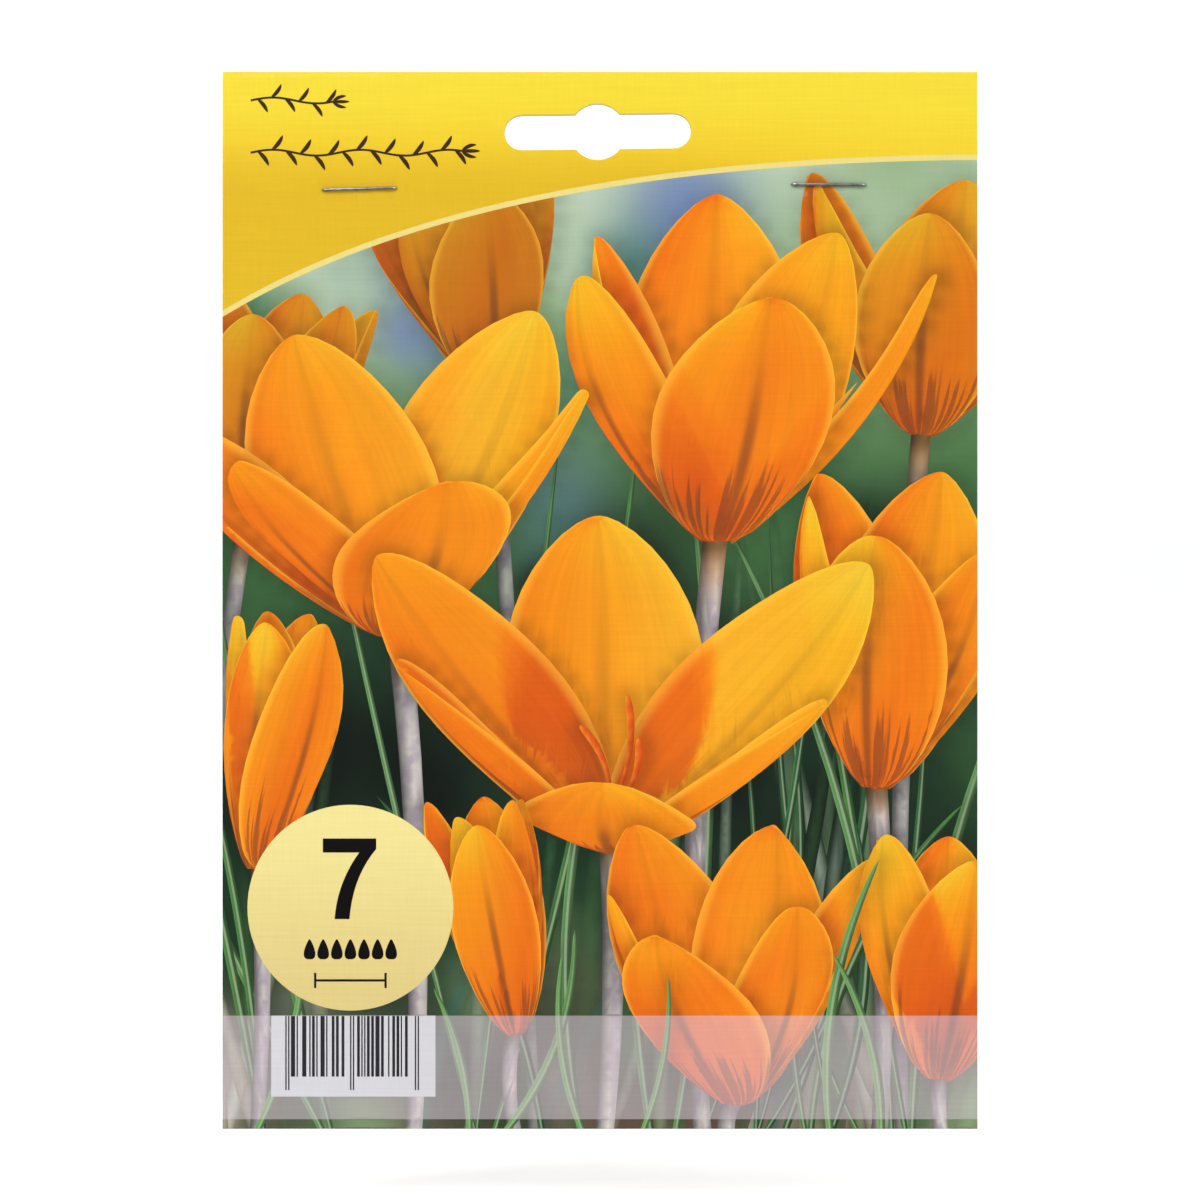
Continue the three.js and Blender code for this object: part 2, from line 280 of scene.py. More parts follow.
def petal_profile(t):
    """A petal's half width along it: a narrow foot, fullest past the middle, a softly pointed tip."""
    round_tip = np.sin(math.pi * np.clip(t, 0, 1) ** 0.9).clip(0) ** 0.62
    return round_tip * (1 - 0.3 * (1 - t)) + 0.16 * (1 - t) ** 2


def rounded(outline, reach):
    """An outline smoothed round its corners, with points where it turns and a few between."""
    step = 0.3
    loop = np.concatenate((outline, outline[:1]))
    run = np.concatenate(([0], np.cumsum(np.linalg.norm(np.diff(loop, axis=0), axis=1))))
    line = np.stack([np.interp(np.arange(0, run[-1], step), run, loop[:, n]) for n in range(2)], 1)
    for _ in range(round(2 * (reach / step) ** 2)):
        line = (np.roll(line, 1, axis=0) + 2 * line + np.roll(line, -1, axis=0)) / 4
    ahead = np.roll(line, -1, axis=0) - line
    heading = np.unwrap(np.arctan2(ahead[:, 1], ahead[:, 0]))
    kept = [0]
    for n in range(1, len(line)):
        if abs(heading[n] - heading[kept[-1]]) > 0.17 or n - kept[-1] > 12:
            kept.append(n)
    return line[kept]


class Petal:
    """A net in the shape of a spoon. angles are how far its middle line leans out at foot, waist and
    tip, curl is how far it is rolled, and place turns its points to where they stand in the picture."""

    def __init__(self, turn, reach, angles, curl, width, place, wave):
        t = np.sin(np.linspace(0, math.pi / 2, LONG + 1)) ** 1.15
        lean = np.radians(np.interp(t, (0, 0.5, 1), angles))
        lean = np.convolve(np.pad(lean, 4, "edge"), np.ones(9) / 9, "valid")
        step = reach * np.diff(t)
        out = 0.045 * reach + np.concatenate(([0], np.cumsum(np.sin(lean[:-1]) * step)))
        rise = np.concatenate(([0], np.cumsum(np.cos(lean[:-1]) * step)))
        way_x, way_z = math.cos(turn), math.sin(turn)
        middle = np.stack((out * way_x, rise, out * way_z), 1)
        inward = np.stack((-np.cos(lean) * way_x, np.sin(lean), -np.cos(lean) * way_z), 1)
        sideways = np.array((-way_z, 0.0, way_x))
        s = np.linspace(-1, 1, WIDE + 1)
        half = (width * reach * petal_profile(t))[:, None, None]
        rolled = curl * (1 - 0.25 * t)[:, None, None]
        bend = rolled * s[None, :, None]
        ripple = wave * reach * np.sin(5 * t + 9 * turn)[:, None] * np.abs(s[None]) ** 2 * t[:, None]
        ripple = ripple[:, :, None]
        net = middle[:, None] + sideways * half * np.sin(bend) / rolled
        net = net + inward[:, None] * (half * (1 - np.cos(bend)) / rolled + ripple)
        normal = inward[:, None] * np.cos(bend) - sideways * np.sin(bend)
        turned_net = place(net.reshape(-1, 3))
        turned_normal = place(normal.reshape(-1, 3)) - place(np.zeros((1, 3)))
        turned_normal /= np.linalg.norm(turned_normal, axis=1, keepdims=True)
        self.verts = [Vector(v) for v in turned_net]
        self.t, self.s = (grid.ravel() for grid in np.meshgrid(t, s, indexing="ij"))
        self.normal = turned_normal
        self.tris = []
        for i in range(LONG):
            for j in range(WIDE):
                a, b = i * (WIDE + 1) + j, (i + 1) * (WIDE + 1) + j
                self.tris += [(a, a + 1, b + 1), (a, b + 1, b)]
        self.depth = turned_net[:, 2].mean()
        self.tree = BVHTree.FromPolygons(self.verts, self.tris)
        rows = turned_net[:, :2].reshape(LONG + 1, WIDE + 1, 2)
        self.outline = self.seen_outline(rows)
        self.margins = (rows[:, 0], rows[:, -1])

    def seen_outline(self, rows):
        """The petal's edge as the reader sees it: its widest points row by row, or where such an
        edge would cross itself, the hull of them all."""
        spine = rows[:, WIDE // 2]
        chord = spine[-1] - spine[0]
        along = np.gradient(spine, axis=0)
        along /= np.linalg.norm(along, axis=1, keepdims=True).max()
        along += 0.25 * chord / (np.linalg.norm(chord) + 1e-6)
        side = np.stack((along[:, 1], -along[:, 0]), 1)
        offset = (rows * side[:, None]).sum(2)
        line = np.arange(LONG + 1)
        right, left = rows[line, offset.argmax(1)], rows[line, offset.argmin(1)]
        outline = np.concatenate((right, left[-2::-1]))
        after = np.roll(outline, -1, axis=0)
        span = after - outline

        def turn_of(a, b):
            return a[..., 0] * b[..., 1] - a[..., 1] * b[..., 0]

        from_each = outline[None] - outline[:, None]
        to_each = after[None] - outline[:, None]
        apart = turn_of(span[:, None], from_each) * turn_of(span[:, None], to_each)
        crossing = (apart < -1e-9) & (apart.T < -1e-9)
        across = np.linalg.norm(rows[:, 0] - rows[:, -1], axis=1).max()
        if crossing.any() or np.linalg.norm(chord) < 0.9 * across:
            every = [Vector(p) for p in rows.reshape(-1, 2)]
            return rounded(np.array([tuple(every[n]) for n in convex_hull_2d(every)]), 1.8)
        return rounded(outline, 0.6)


def lit_petal(petal, shadows, warmth, streak, dim):
    """Works out a petal's ink from its own model: how it faces the sun, and what stands over it."""

    def paint(points):
        count = len(points)
        t, s, normal, spots = np.zeros(count), np.zeros(count), np.zeros((count, 3)), []
        for n, (x, v) in enumerate(points):
            spot, _, index, _ = petal.tree.ray_cast(Vector((x, v, 900)), Vector((0, 0, -1)))
            if spot is None:
                spot, _, index, _ = petal.tree.find_nearest(Vector((x, v, petal.depth)))
            corners = petal.tris[index]
            weights = np.array(poly_3d_calc([petal.verts[c] for c in corners], spot))
            t[n], s[n] = weights @ petal.t[list(corners)], weights @ petal.s[list(corners)]
            normal[n] = weights @ petal.normal[list(corners)]
            spots.append(spot)
        normal /= np.linalg.norm(normal, axis=1, keepdims=True)
        inner = normal[:, 2] > 0
        normal[~inner] *= -1
        sunny, sky = np.ones(count), np.zeros(count)
        for n, spot in enumerate(spots):
            start = spot + Vector(normal[n]) * 0.5
            sunny[n] = sum(shadows.ray_cast(start, way)[0] is None for way in SUN_RAYS) / len(SUN_RAYS)
            sky[n] = sum(shadows.ray_cast(start, way)[0] is None for way in SKY_RAYS) / len(SKY_RAYS)
        facing = normal @ np.array(SUN)
        front, behind = np.maximum(facing, 0), np.maximum(-facing, 0)
        # Skylight, sunlight, the sun's glow through the petal, and how the petal darkens to its foot
        light = 0.1 + 0.25 * sky + 0.46 * front * (0.62 + 0.38 * sunny) + 0.36 * behind - 0.3 * warmth
        light = light + np.where(inner, -0.03 - 0.14 * (1 - t) ** 1.5, 0.04 - 0.16 * (1 - t) ** 2.4)
        light = light + 0.1 * smooth(t, 0.72, 1.0)
        stops = [(0, UMBER), (0.14, EMBER), (0.34, ORANGE), (0.56, AMBER), (0.76, GOLD), (1.0, GLOW)]
        colour = ramp(light, stops)
        gloss = np.maximum(normal @ np.array(HALF_WAY), 0) ** 14 * sunny * np.where(inner, 0.16, 0.34)
        colour = blend(colour, ink(255, 230, 120), gloss)
        colour = blend(colour, DEEP, np.full(count, dim))
        detail = np.zeros((count, 4))
        detail[:, 0] = 1 - dim
        detail[:, 1] = np.where(inner, 0.25, 1.0) * streak
        return colour, detail, np.stack((t, s), 1)

    return paint


# Forms of bloom: how its petals lean out at foot, waist and tip, how far they roll, and how wide they are
CUP = ((34, 20, -2), 1.0, 0.3)
GOBLET = ((44, 28, 4), 0.85, 0.31)
OPEN = ((48, 44, 24), 0.7, 0.32)
WIDE_OPEN = ((52, 50, 32), 0.6, 0.325)
BUD = ((18, 9, -10), 1.2, 0.25)


def widening(t):
    return 0.7 + 0.3 * t


def tube(foot, top, bow, width, dim=0.0):
    """The pale stalk that carries a bloom."""
    blade = Blade(foot, top, bow, width, widening, 12)

    def paint(points):
        t, across = blade.flow(points)
        pale = blend(ink(238, 232, 222), ink(204, 186, 200), 0.5 + 0.5 * np.sin(9 * across + 14 * t))
        pale = blend(pale, ink(214, 150, 84), smooth(t, 0.86, 1.0))
        colour = pale * (0.98 - 0.34 * np.abs(across - 0.35) ** 1.5)[:, None]
        colour = blend(colour, DEEP, np.full(len(points), 0.04 + 1.2 * dim))
        return np.clip(colour, 0, 1), np.zeros((len(points), 4)), np.stack((t, across), 1)

    lay(blade.outline, paint, casts=0.6, takes=1.0)


def frill(t):
    """A style's width along it: a thin foot and a broad, blunt tip."""
    return (0.35 + 1.0 * t**1.5) * np.sqrt(np.clip(1 - t**8, 0, 1))


def style_paint(blade):
    """The forked style in a bloom's heart: deep orange, paler where it catches the light."""

    def paint(points):
        t, across = blade.flow(points)
        light = 0.3 + 0.25 * t - 0.25 * across + 0.1 * np.sin(40 * t)
        colour = ramp(light, [(0, ink(190, 50, 10)), (0.5, ink(240, 96, 16)), (1, ink(255, 170, 50))])
        return colour, np.zeros((len(points), 4)), np.stack((t, across), 1)

    return paint


def bloom(x, v, size, form, lean=0.0, nod=15.0, spin=0.0, warmth=0.0, dim=0.0, streak=0.8):
    """A bloom whose foot stands at x, v, leaning sideways and nodding towards the reader."""
    angles, curl, width = form
    draw = random.Random(int(x * 31 + v * 7 + size))
    cn, sn = math.cos(math.radians(nod)), math.sin(math.radians(nod))
    cl, sl = math.cos(math.radians(lean)), math.sin(math.radians(lean))

    def place(net):
        up, deep = net[:, 1] * cn - net[:, 2] * sn, net[:, 1] * sn + net[:, 2] * cn
        return np.stack((x + net[:, 0] * cl + up * sl, v + up * cl - net[:, 0] * sl, deep), 1)

    root = (x - 0.35 * (v + 6) * sl + draw.uniform(-5, 5), -6)
    tube(root, (x + 0.04 * size * sl, v + 0.04 * size), draw.uniform(-3, 3), 0.034 * size, dim)
    petals = []
    for n in range(6):
        outer = n % 2
        turn = math.radians(spin + 60 * n + draw.uniform(-7, 7))
        bends = [a + draw.uniform(-5, 5) + (4 if outer else -2) for a in angles]
        reach = size * (1.0 if outer else 0.95) * draw.uniform(0.95, 1.04)
        roll = curl * draw.uniform(0.85, 1.1)
        petals.append(Petal(turn, reach, bends, roll, width * (1.0 if outer else 1.08), place, 0.03))
    verts, tris = [], []
    for petal in petals:
        tris += [tuple(c + len(verts) for c in tri) for tri in petal.tris]
        verts += petal.verts
    shadows = BVHTree.FromPolygons(verts, tris)
    petals.sort(key=lambda petal: petal.depth)
    for n, petal in enumerate(petals):
        if n == 3 and nod > 20:
            # A bloom that nods far enough shows the three arms of its style, before its front petals
            heart = place(np.array([(0.0, 0.3 * size, 0.0)]))[0]
            for turn in (70, 195, 310):
                arm = math.radians(turn)
                end = heart[:2] + size * np.array((0.1 * math.cos(arm), 0.09 + 0.07 * math.sin(arm)))
                style = Blade((x, v + 0.1 * size), end, 0.03 * size, 0.011 * size, frill, 14)
                lay(style.outline, style_paint(style), casts=0.7, takes=0.5)
        paint = lit_petal(petal, shadows, warmth, streak, dim)
        lay(petal.outline, paint, casts=0.8, takes=0.6, creases=petal.margins)


PICTURE_TOP = 168
PAST = 1  # how far the print's edges run past the card's own, which cut them off
lay(
    [(-PAST, -PAST), (CARD_WIDTH + PAST, -PAST), (CARD_WIDTH + PAST, PICTURE_TOP), (-PAST, PICTURE_TOP)],
    paint_ground,
    takes=0.35,
)
for n in range(40):
    foot_x = draw.uniform(-6, CARD_WIDTH + 6)
    rise = draw.uniform(36, 118)
    tone = (SAGE, STRAW, MOSS, MIST, MOSS, TEAL)[n % 6]
    width = draw.uniform(0.9, 2.4)
    tip = (foot_x + draw.uniform(-20, 20), rise - 6)
    bow, strength = draw.uniform(-2, 2), draw.uniform(0.35, 0.8)
    soft_leaf((foot_x, -6), tip, bow, width, tone, strength)

# Far blooms, the sharp leaves before them, near blooms, and a few leaves before those
bloom(46, 126, 42, CUP, -8, 12, 20, 0.12, 0.2)
bloom(119, 118, 50, GOBLET, 6, 8, 33, 0.12, 0.1)
bloom(4, 104, 44, CUP, 8, 10, 45, 0.22, 0.14)
for n in range(26):
    foot_x = draw.uniform(2, CARD_WIDTH - 2)
    tip = (foot_x + draw.uniform(-30, 30), draw.uniform(40, 128))
    bow, width = draw.uniform(-7, 7), draw.uniform(0.55, 1.0)
    leaf((foot_x, -5), tip, bow, width, (ink(74, 128, 62), ink(54, 104, 60), ink(96, 142, 84))[n % 3])
bloom(84, 100, 62, GOBLET, 5, 16, 75, 0.02)
bloom(30, 84, 60, OPEN, -5, 20, 10, 0.0)
bloom(111, 58, 56, CUP, 8, 14, 40, 0.08)
bloom(6, 44, 46, BUD, 6, 6, 0, 0.22)
bloom(66, 48, 62, WIDE_OPEN, 3, 28, 28, 0.0)
bloom(50, 16, 42, BUD, -9, 8, 30, 0.2)
bloom(88, 4, 50, GOBLET, -5, 18, 55, 0.16)
bloom(122, 8, 46, CUP, 6, 8, 80, 0.06)
for foot, tip, bow, width in (
    ((46, -3), (60, 34), 4, 0.8),
    ((64, -6), (58, 30), -3, 0.7),
    ((104, -4), (112, 46), -4, 0.9),
    ((112, -6), (104, 30), 3, 0.8),
    ((4, -4), (14, 30), 2, 0.8),
    ((70, -4), (76, 26), 2, 0.6),
    ((42, -4), (36, 24), 2, 0.7),
):
    leaf(foot, tip, bow, width, ink(104, 158, 84))

# ---- The print: pale band, bars and badge --------------------------------------------------------
# A milky band runs across the foot of the picture. On it stands a white box of bars, and above it a
# pale yellow disc that gives the number of bulbs.
BAND = (1.65, 19.3)


def oblong(left, low, right, high):
    return [(left, low), (right, low), (right, high), (left, high)]


lay(oblong(-PAST, BAND[0], CARD_WIDTH + PAST, BAND[1]), role="band")

BOX = (8.3, 5.5, 36.3, 19.3)
BARS = (10.7, 33.5)
BAR_FOOT, GUARD_FOOT = 8.9, 6.6
MODULES = 95
LINE = ink(44, 44, 50)
lay(oblong(*BOX), flat_paint(ink(221, 220, 225)))
module = (BARS[1] - BARS[0]) / MODULES
guards = [(0, 1), (2, 1), (46, 1), (48, 1), (92, 1), (94, 1)]
bars = list(guards)
for start, end in ((4, 45), (51, 91)):
    place = start
    while place < end - 3:
        thick = draw.choice((1, 1, 2, 2, 3))
        bars.append((place, thick))
        place += thick + draw.choice((1, 1, 2, 3))
for place, thick in bars:
    left = BARS[0] + place * module
    low = GUARD_FOOT if (place, thick) in guards else BAR_FOOT
    lay(oblong(left, low, left + thick * module, BOX[3] - 0.05), flat_paint(LINE))

BADGE = (21.8, CARD_HEIGHT - 142.6)
BADGE_RADIUS = 17.55
BLACK = ink(12, 8, 8)


def paint_badge(points):
    fall = smooth(points[:, 1], BADGE[1] - BADGE_RADIUS, BADGE[1] + BADGE_RADIUS)
    return plain(blend(np.tile(ink(234, 212, 138), (len(points), 1)), ink(253, 238, 156), fall))


lay(arc_points(BADGE, BADGE_RADIUS, 0, 356, 90), paint_badge)


def curve(start, bend, end, steps=10):
    t = np.linspace(0, 1, steps)[:, None]
    return np.array(start) * (1 - t) ** 2 + np.array(bend) * 2 * t * (1 - t) + np.array(end) * t**2


# The numeral's outline in shares of its width and height, from its top left corner
NUMERAL = (17.1, CARD_HEIGHT - 130.8, 9.1, 13.75)
numeral = np.concatenate(
    (
        [(0, 0), (1, 0), (1, 0.13)],
        curve((1, 0.13), (0.56, 0.48), (0.5, 1.0)),
        curve((0.22, 1.0), (0.27, 0.55), (0.68, 0.175)),
        [(0, 0.175)],
    )
)
numeral = numeral[np.r_[True, np.abs(np.diff(numeral, axis=0)).sum(1) > 1e-6]]
lay(numeral * (NUMERAL[2], -NUMERAL[3]) + NUMERAL[:2], flat_paint(BLACK))

# A little bulb: round body drawn up to a point
belly = curve((-0.18, 0), (-0.62, 0.05), (-0.5, 0.4), 8)
shoulder = curve((-0.5, 0.4), (-0.36, 0.72), (-0.06, 1.0), 8)
bulb = np.concatenate((belly, shoulder[1:]))
bulb = np.concatenate((bulb, (bulb * (-1, 1))[::-1]))
BULB_ROW = (BADGE[0], CARD_HEIGHT - 151.4, 2.32, 3.4)
for n in range(7):
    place = (BULB_ROW[0] + (n - 3) * BULB_ROW[2], BULB_ROW[1])
    lay(bulb * (1.9, BULB_ROW[3]) + place, flat_paint(BLACK))
# The size bar under the bulbs: a line with a tick at each end
SIZE_BAR = (15.6, 28.0, CARD_HEIGHT - 155.0)
BAR_LINE, TICK = 0.4, 2.6
left, right, height = SIZE_BAR
lay(oblong(left, height - BAR_LINE / 2, right, height + BAR_LINE / 2), flat_paint(BLACK))
for edge in (left, right - BAR_LINE):
    lay(oblong(edge, height - TICK / 2, edge + BAR_LINE, height + TICK / 2), flat_paint(BLACK))

# ---- The print: yellow header --------------------------------------------------------------------
# The yellow ground covers the top, the fold and the flap. Its lower edge is one sweeping curve with a
# pale line along it, and two sprigs of line drawing stand at its left.
SWEEP = ((0, CARD_HEIGHT - 40.8), (43.5, CARD_HEIGHT - 14.6), (CARD_WIDTH, CARD_HEIGHT - 14.2))
SWEEP_LINE = 0.95
LEMON = ink(246, 226, 134)


def paint_header(points):
    x, v = points[:, 0], points[:, 1]
    down = smooth(CARD_HEIGHT - v, 3, 21) * (1 - 0.55 * smooth(x, 70, 125))
    down = np.where(v > FRONT + FOLD / 2, 0.35, down)
    colour = ramp(down, [(0, ink(254, 227, 56)), (0.5, ink(250, 213, 44)), (1, ink(235, 192, 32))])
    detail = np.zeros((len(points), 4))
    detail[:, 3] = np.exp(-(((v - FRONT - FOLD / 2) / 0.7) ** 2)) * 0.8
    return colour, detail, np.zeros((len(points), 2))


sweep = curve(*SWEEP, 60)
sweep = np.concatenate(([sweep[0] - (sweep[1] - sweep[0]) * 0.6], sweep, [sweep[-1] + (PAST, 0)]))
top = [(CARD_WIDTH + PAST, SHEET + PAST), (-PAST, SHEET + PAST)]
lay(np.concatenate((sweep, top)), paint_header)
rim = sweep.copy()
slope = np.gradient(sweep, axis=0)
rim[:, 1] -= SWEEP_LINE * np.hypot(slope[:, 0], slope[:, 1]) / slope[:, 0]
lay(np.concatenate((rim, sweep[::-1])), flat_paint(LEMON))

# The same pale line runs along the flap's lower edge
FLAP_LINE_IN = 1.65
across = np.linspace(-PAST, CARD_WIDTH + PAST, 66)
flap_line = [(x, SHEET - FLAP_LINE_IN - SWEEP_LINE) for x in across]
flap_line += [(x, SHEET - FLAP_LINE_IN) for x in across[::-1]]
lay(flap_line, flat_paint(LEMON))

STROKE, SEPIA = 0.19, ink(62, 40, 22)


def stroke(points, thick=STROKE):
    points = np.asarray(points, float)
    along = np.gradient(points, axis=0)
    side = np.stack((along[:, 1], -along[:, 0]), 1) / np.linalg.norm(along, axis=1, keepdims=True)
    lay(np.concatenate((points + side * thick, (points - side * thick)[::-1])), flat_paint(SEPIA))


def sprig(left, middle, length, leaves, size):
    """A waving stem with a pair of narrow leaves at each step and a bud at its end."""

    def stem(run):
        return np.stack((left + run, middle + 0.5 * np.sin(2 * math.pi * run / 15)), -1)

    stroke(stem(np.linspace(0, length, 50)))
    for n in range(leaves):
        root = stem((n + 0.5) * length / leaves)
        up = 1 if n % 2 else -1
        tip = root + (0.75 * size, up * size)
        blade = Blade(root, tip, 0.1 * up * size, 0.17 * size, petal_profile, 8)
        lay(blade.outline, flat_paint(SEPIA))
    end = stem(length)
    for lean, reach in ((-0.42, 0.8), (0.42, 0.8), (0.0, 1.0)):
        tip = (end[0] + size * 1.25 * reach, end[1] + size * lean)
        blade = Blade(end, tip, -0.12 * size * np.sign(lean), 0.15 * size, petal_profile, 8)
        lay(blade.outline, flat_paint(SEPIA))


sprig(4.8, CARD_HEIGHT - 5.0, 14, 6, 2.3)
sprig(4.8, CARD_HEIGHT - 13.9, 36, 15, 2.5)

lay(slot_outline(), role="hole")
lay(on_flap(slot_outline()), role="hole")

# ---- The card: parting the sheet and folding it --------------------------------------------------
# The sheet is parted along every printed outline, with points between them close enough to carry the
# soft changes of ink, and each face takes the ink of the topmost shape that covers it.
PITCH = 0.92
RIM = 0.25
points = []
outlines = []


def add_outline(outline):
    first = len(points)
    points.extend(Vector(p) for p in outline)
    outlines.append(list(range(first, len(points))))


def near_card(outline):
    """The part of an outline that lies on the sheet or just past its edges."""
    sides = ((0, -PAST, 1), (0, CARD_WIDTH + PAST, -1), (1, -PAST, 1), (1, SHEET + PAST, -1))
    for axis, limit, keep in sides:
        kept = []
        for here, after in zip(outline, np.roll(outline, -1, axis=0)):
            a, b = (here[axis] - limit) * keep, (after[axis] - limit) * keep
            if a >= 0:
                kept.append(here)
            if (a > 0 > b) or (a < 0 < b):
                kept.append(here + (after - here) * a / (a - b))
        outline = np.array(kept)
        if len(outline) < 3:
            return None
    return outline


# The fold is bent along these heights, and outlines that run up the sheet have a point at each
bends = np.concatenate(([FRONT - 0.3], FRONT + FOLD * np.arange(15) / 14, [FRONT + FOLD + 0.3]))
rungs = np.concatenate((np.arange(2.0, FRONT - 1, 2), bends, np.arange(FRONT + FOLD + 2, SHEET - 1, 2)))


def ladder(inset):
    """The sheet's outline, or one inside it, with a point at every rung and along the flap's edge."""
    left, right, foot, head = inset, CARD_WIDTH - inset, inset, SHEET - inset
    up = [(right, v) for v in rungs]
    over = [(x, head) for x in np.linspace(right, left, 66)]
    down = [(left, v) for v in rungs[::-1]]
    return [(left, foot), (right, foot)] + up + over + down


crease_edges = []
add_outline(ladder(0))
kept_layers = []
for layer in layers:
    clipped = near_card(layer["outline"])
    if clipped is not None:
        add_outline(clipped)
        kept_layers.append(layer)
        for crease in layer["creases"]:
            for start, end in zip(crease, crease[1:]):
                across = 0 < min(start[0], end[0]) and max(start[0], end[0]) < CARD_WIDTH
                if across and min(start[1], end[1]) > 0 and np.hypot(*(end - start)) > 0.02:
                    crease_edges.append((len(points), len(points) + 1))
                    points.extend((Vector(start), Vector(end)))
guides = [ladder(RIM), slot_outline(RIM), on_flap(slot_outline(RIM))]
for guide in guides:
    add_outline(guide)
for height in bends:
    points.extend(Vector((x, height)) for x in np.linspace(0, CARD_WIDTH, 80)[1:-1])
draw = random.Random(5)
for row in range(int(SHEET / PITCH)):
    height = (row + 0.5) * PITCH
    if FRONT - 0.5 < height < FRONT + FOLD + 0.5:
        continue
    pitch = PITCH if height < FRONT else 2 * PITCH
    wander = 0.2 * pitch
    for column in range(int(CARD_WIDTH / pitch)):
        x = (column + 0.5) * pitch + draw.uniform(-wander, wander)
        points.append(Vector((x, height + draw.uniform(-wander, wander))))
flat, _, faces, _, _, owners = delaunay_2d_cdt(points, crease_edges, outlines, 1, 1e-4, True)
flat = np.array([tuple(p) for p in flat])
faces = np.array(faces)

roles = ["edge"] + [layer["role"] for layer in kept_layers] + ["guide"] * len(guides)
topmost = np.array([max((o for o in own if roles[o] == "ink"), default=-1) for own in owners])
holed = np.array([0 not in own or any(roles[o] == "hole" for o in own) for own in owners])
banded = np.array([any(roles[o] == "band" and o > top for o in own) for own, top in zip(owners, topmost)])
keep = ~holed
faces, topmost, banded = faces[keep], topmost[keep], banded[keep]

# Ink at every corner of every face, darkened beside whatever stands over it
SHADE_REACH, SHADE_FALL = 2.2, (0.4, -0.6)
corner_ink = np.ones((len(faces), 3, 3))
corner_detail = np.zeros((len(faces), 3, 4))
corner_flow = np.zeros((len(faces), 3, 2))
for number, layer in enumerate(kept_layers, 1):
    mine = topmost == number
    if layer["role"] != "ink" or not mine.any():
        continue
    corners = flat[faces[mine]]
    if layer["creases"]:
        where = (corners + 0.06 * (corners.mean(1, keepdims=True) - corners)).reshape(-1, 2)
        spread = np.arange(len(where)).reshape(-1, 3)
    else:
        used, spread = np.unique(faces[mine], return_inverse=True)
        spread = spread.reshape(-1, 3)
        where = flat[used]
    colour, detail, flow = layer["paint"](where)
    if layer["takes"]:
        shade = np.zeros(len(where))
        low, high = where.min(0) - 2 * SHADE_REACH, where.max(0) + 2 * SHADE_REACH
        for later in kept_layers[number:]:
            line = later["outline"] + SHADE_FALL
            near = line[((line > low) & (line < high)).all(1)]
            if later["casts"] and len(near):
                gap = np.sqrt(((where[:, None] - near[None]) ** 2).sum(2).min(1))
                shade = np.maximum(shade, later["casts"] * np.exp(-((gap / SHADE_REACH) ** 2)))
        colour = colour * (1 - 0.4 * layer["takes"] * shade)[:, None]
    corner_ink[mine] = colour[spread]
    corner_detail[mine] = detail[spread]
    corner_flow[mine] = flow[spread]


# Folding: up the panel, round the fold and down the flap
def folded(x, v):
    """Where a place on the flat sheet stands on the folded card, in metres."""
    if v <= FRONT:
        y, z = -HALF_STACK, v
    elif v < FRONT + FOLD:
        angle = (v - FRONT) / HALF_STACK
        y, z = -HALF_STACK * math.cos(angle), FRONT + HALF_STACK * math.sin(angle)
    else:
        y, z = HALF_STACK, 2 * FRONT + FOLD - v
    return card_low + Vector((x, y - card_low.y / MM, z)) * MM


# The staples: name, place across, distance below the card's top and tilt in degrees. Their crowns
# press the board in a little, most of all where their legs go through.
STAPLES = (("staple_left", -41.0, 20.1, 1.6), ("staple_right", 39.0, 19.35, -0.3))
CROWN, WIRE, LEG_END, STAPLE_GAP = 13, 0.6, 2.4, 0.1
CROWN_DENT, LEG_DENT, CLOSED_UP = 0.1, 0.16, 0.58


def pressed(x, v):
    """How far the board is pressed in at a place on the sheet, in metres."""
    height = v if v < FRONT + FOLD / 2 else 2 * FRONT + FOLD - v
    # Beside the bag's mouth the flap's ends close up to the panel
    end, down = min(x, CARD_WIDTH - x), max(0.0, v - FRONT - FOLD)
    dent = CLOSED_UP * math.exp(-((end / 3.4) ** 2)) * (1 - math.exp(-((down / 3) ** 2)))
    for _, staple_x, staple_drop, tilt in STAPLES:
        across, up = x - SLOT_X - staple_x, height - (CARD_HEIGHT - staple_drop)
        off = up - across * math.tan(math.radians(tilt))
        if abs(across) < CROWN and abs(off) < 6:
            past = max(0.0, abs(across) - CROWN / 2)
            dent += CROWN_DENT * math.exp(-((off / 0.9) ** 2) - (past / 0.9) ** 2)
            leg = (abs(across) - CROWN / 2 + WIRE / 2) ** 2 + off**2
            dent += LEG_DENT * math.exp(-leg / 0.8**2)
    return dent * MM


def new_piece(name, bm, *materials):
    mesh = bpy.data.meshes.new(name)
    bm.to_mesh(mesh)
    bm.free()
    for material in materials:
        mesh.materials.append(material)
    piece = bpy.data.objects.new(name, mesh)
    bpy.context.scene.collection.objects.link(piece)
    return piece


card_bm = bmesh.new()
for x, v in flat:
    inwards = Vector((0, pressed(x, v) * (1 if v < FRONT + FOLD / 2 else -1), 0))
    card_bm.verts.new(folded(x, v) + inwards)
card_bm.verts.ensure_lookup_table()
for face in faces:
    card_bm.faces.new([card_bm.verts[n] for n in face]).smooth = True
loose = [v for v in card_bm.verts if not v.link_faces]
bmesh.ops.delete(card_bm, geom=loose, context="VERTS")


# ---- The card: printed side and plain side -------------------------------------------------------
# The outside carries the inks under a satin varnish, with the press's fine grain. The inside and the
# cut edges are plain greyish board.
def node(tree, kind, inputs=None, **settings):
    made = tree.nodes.new(kind)
    for name, value in settings.items():
        setattr(made, name, value)
    for name, value in (inputs or {}).items():
        socket = made.inputs[name]
        if isinstance(value, bpy.types.NodeSocket):
            tree.links.new(value, socket)
        else:
            socket.default_value = value
    return made


def maths(tree, operation, first, second=0.0):
    return node(tree, "ShaderNodeMath", {0: first, 1: second}, operation=operation).outputs[0]


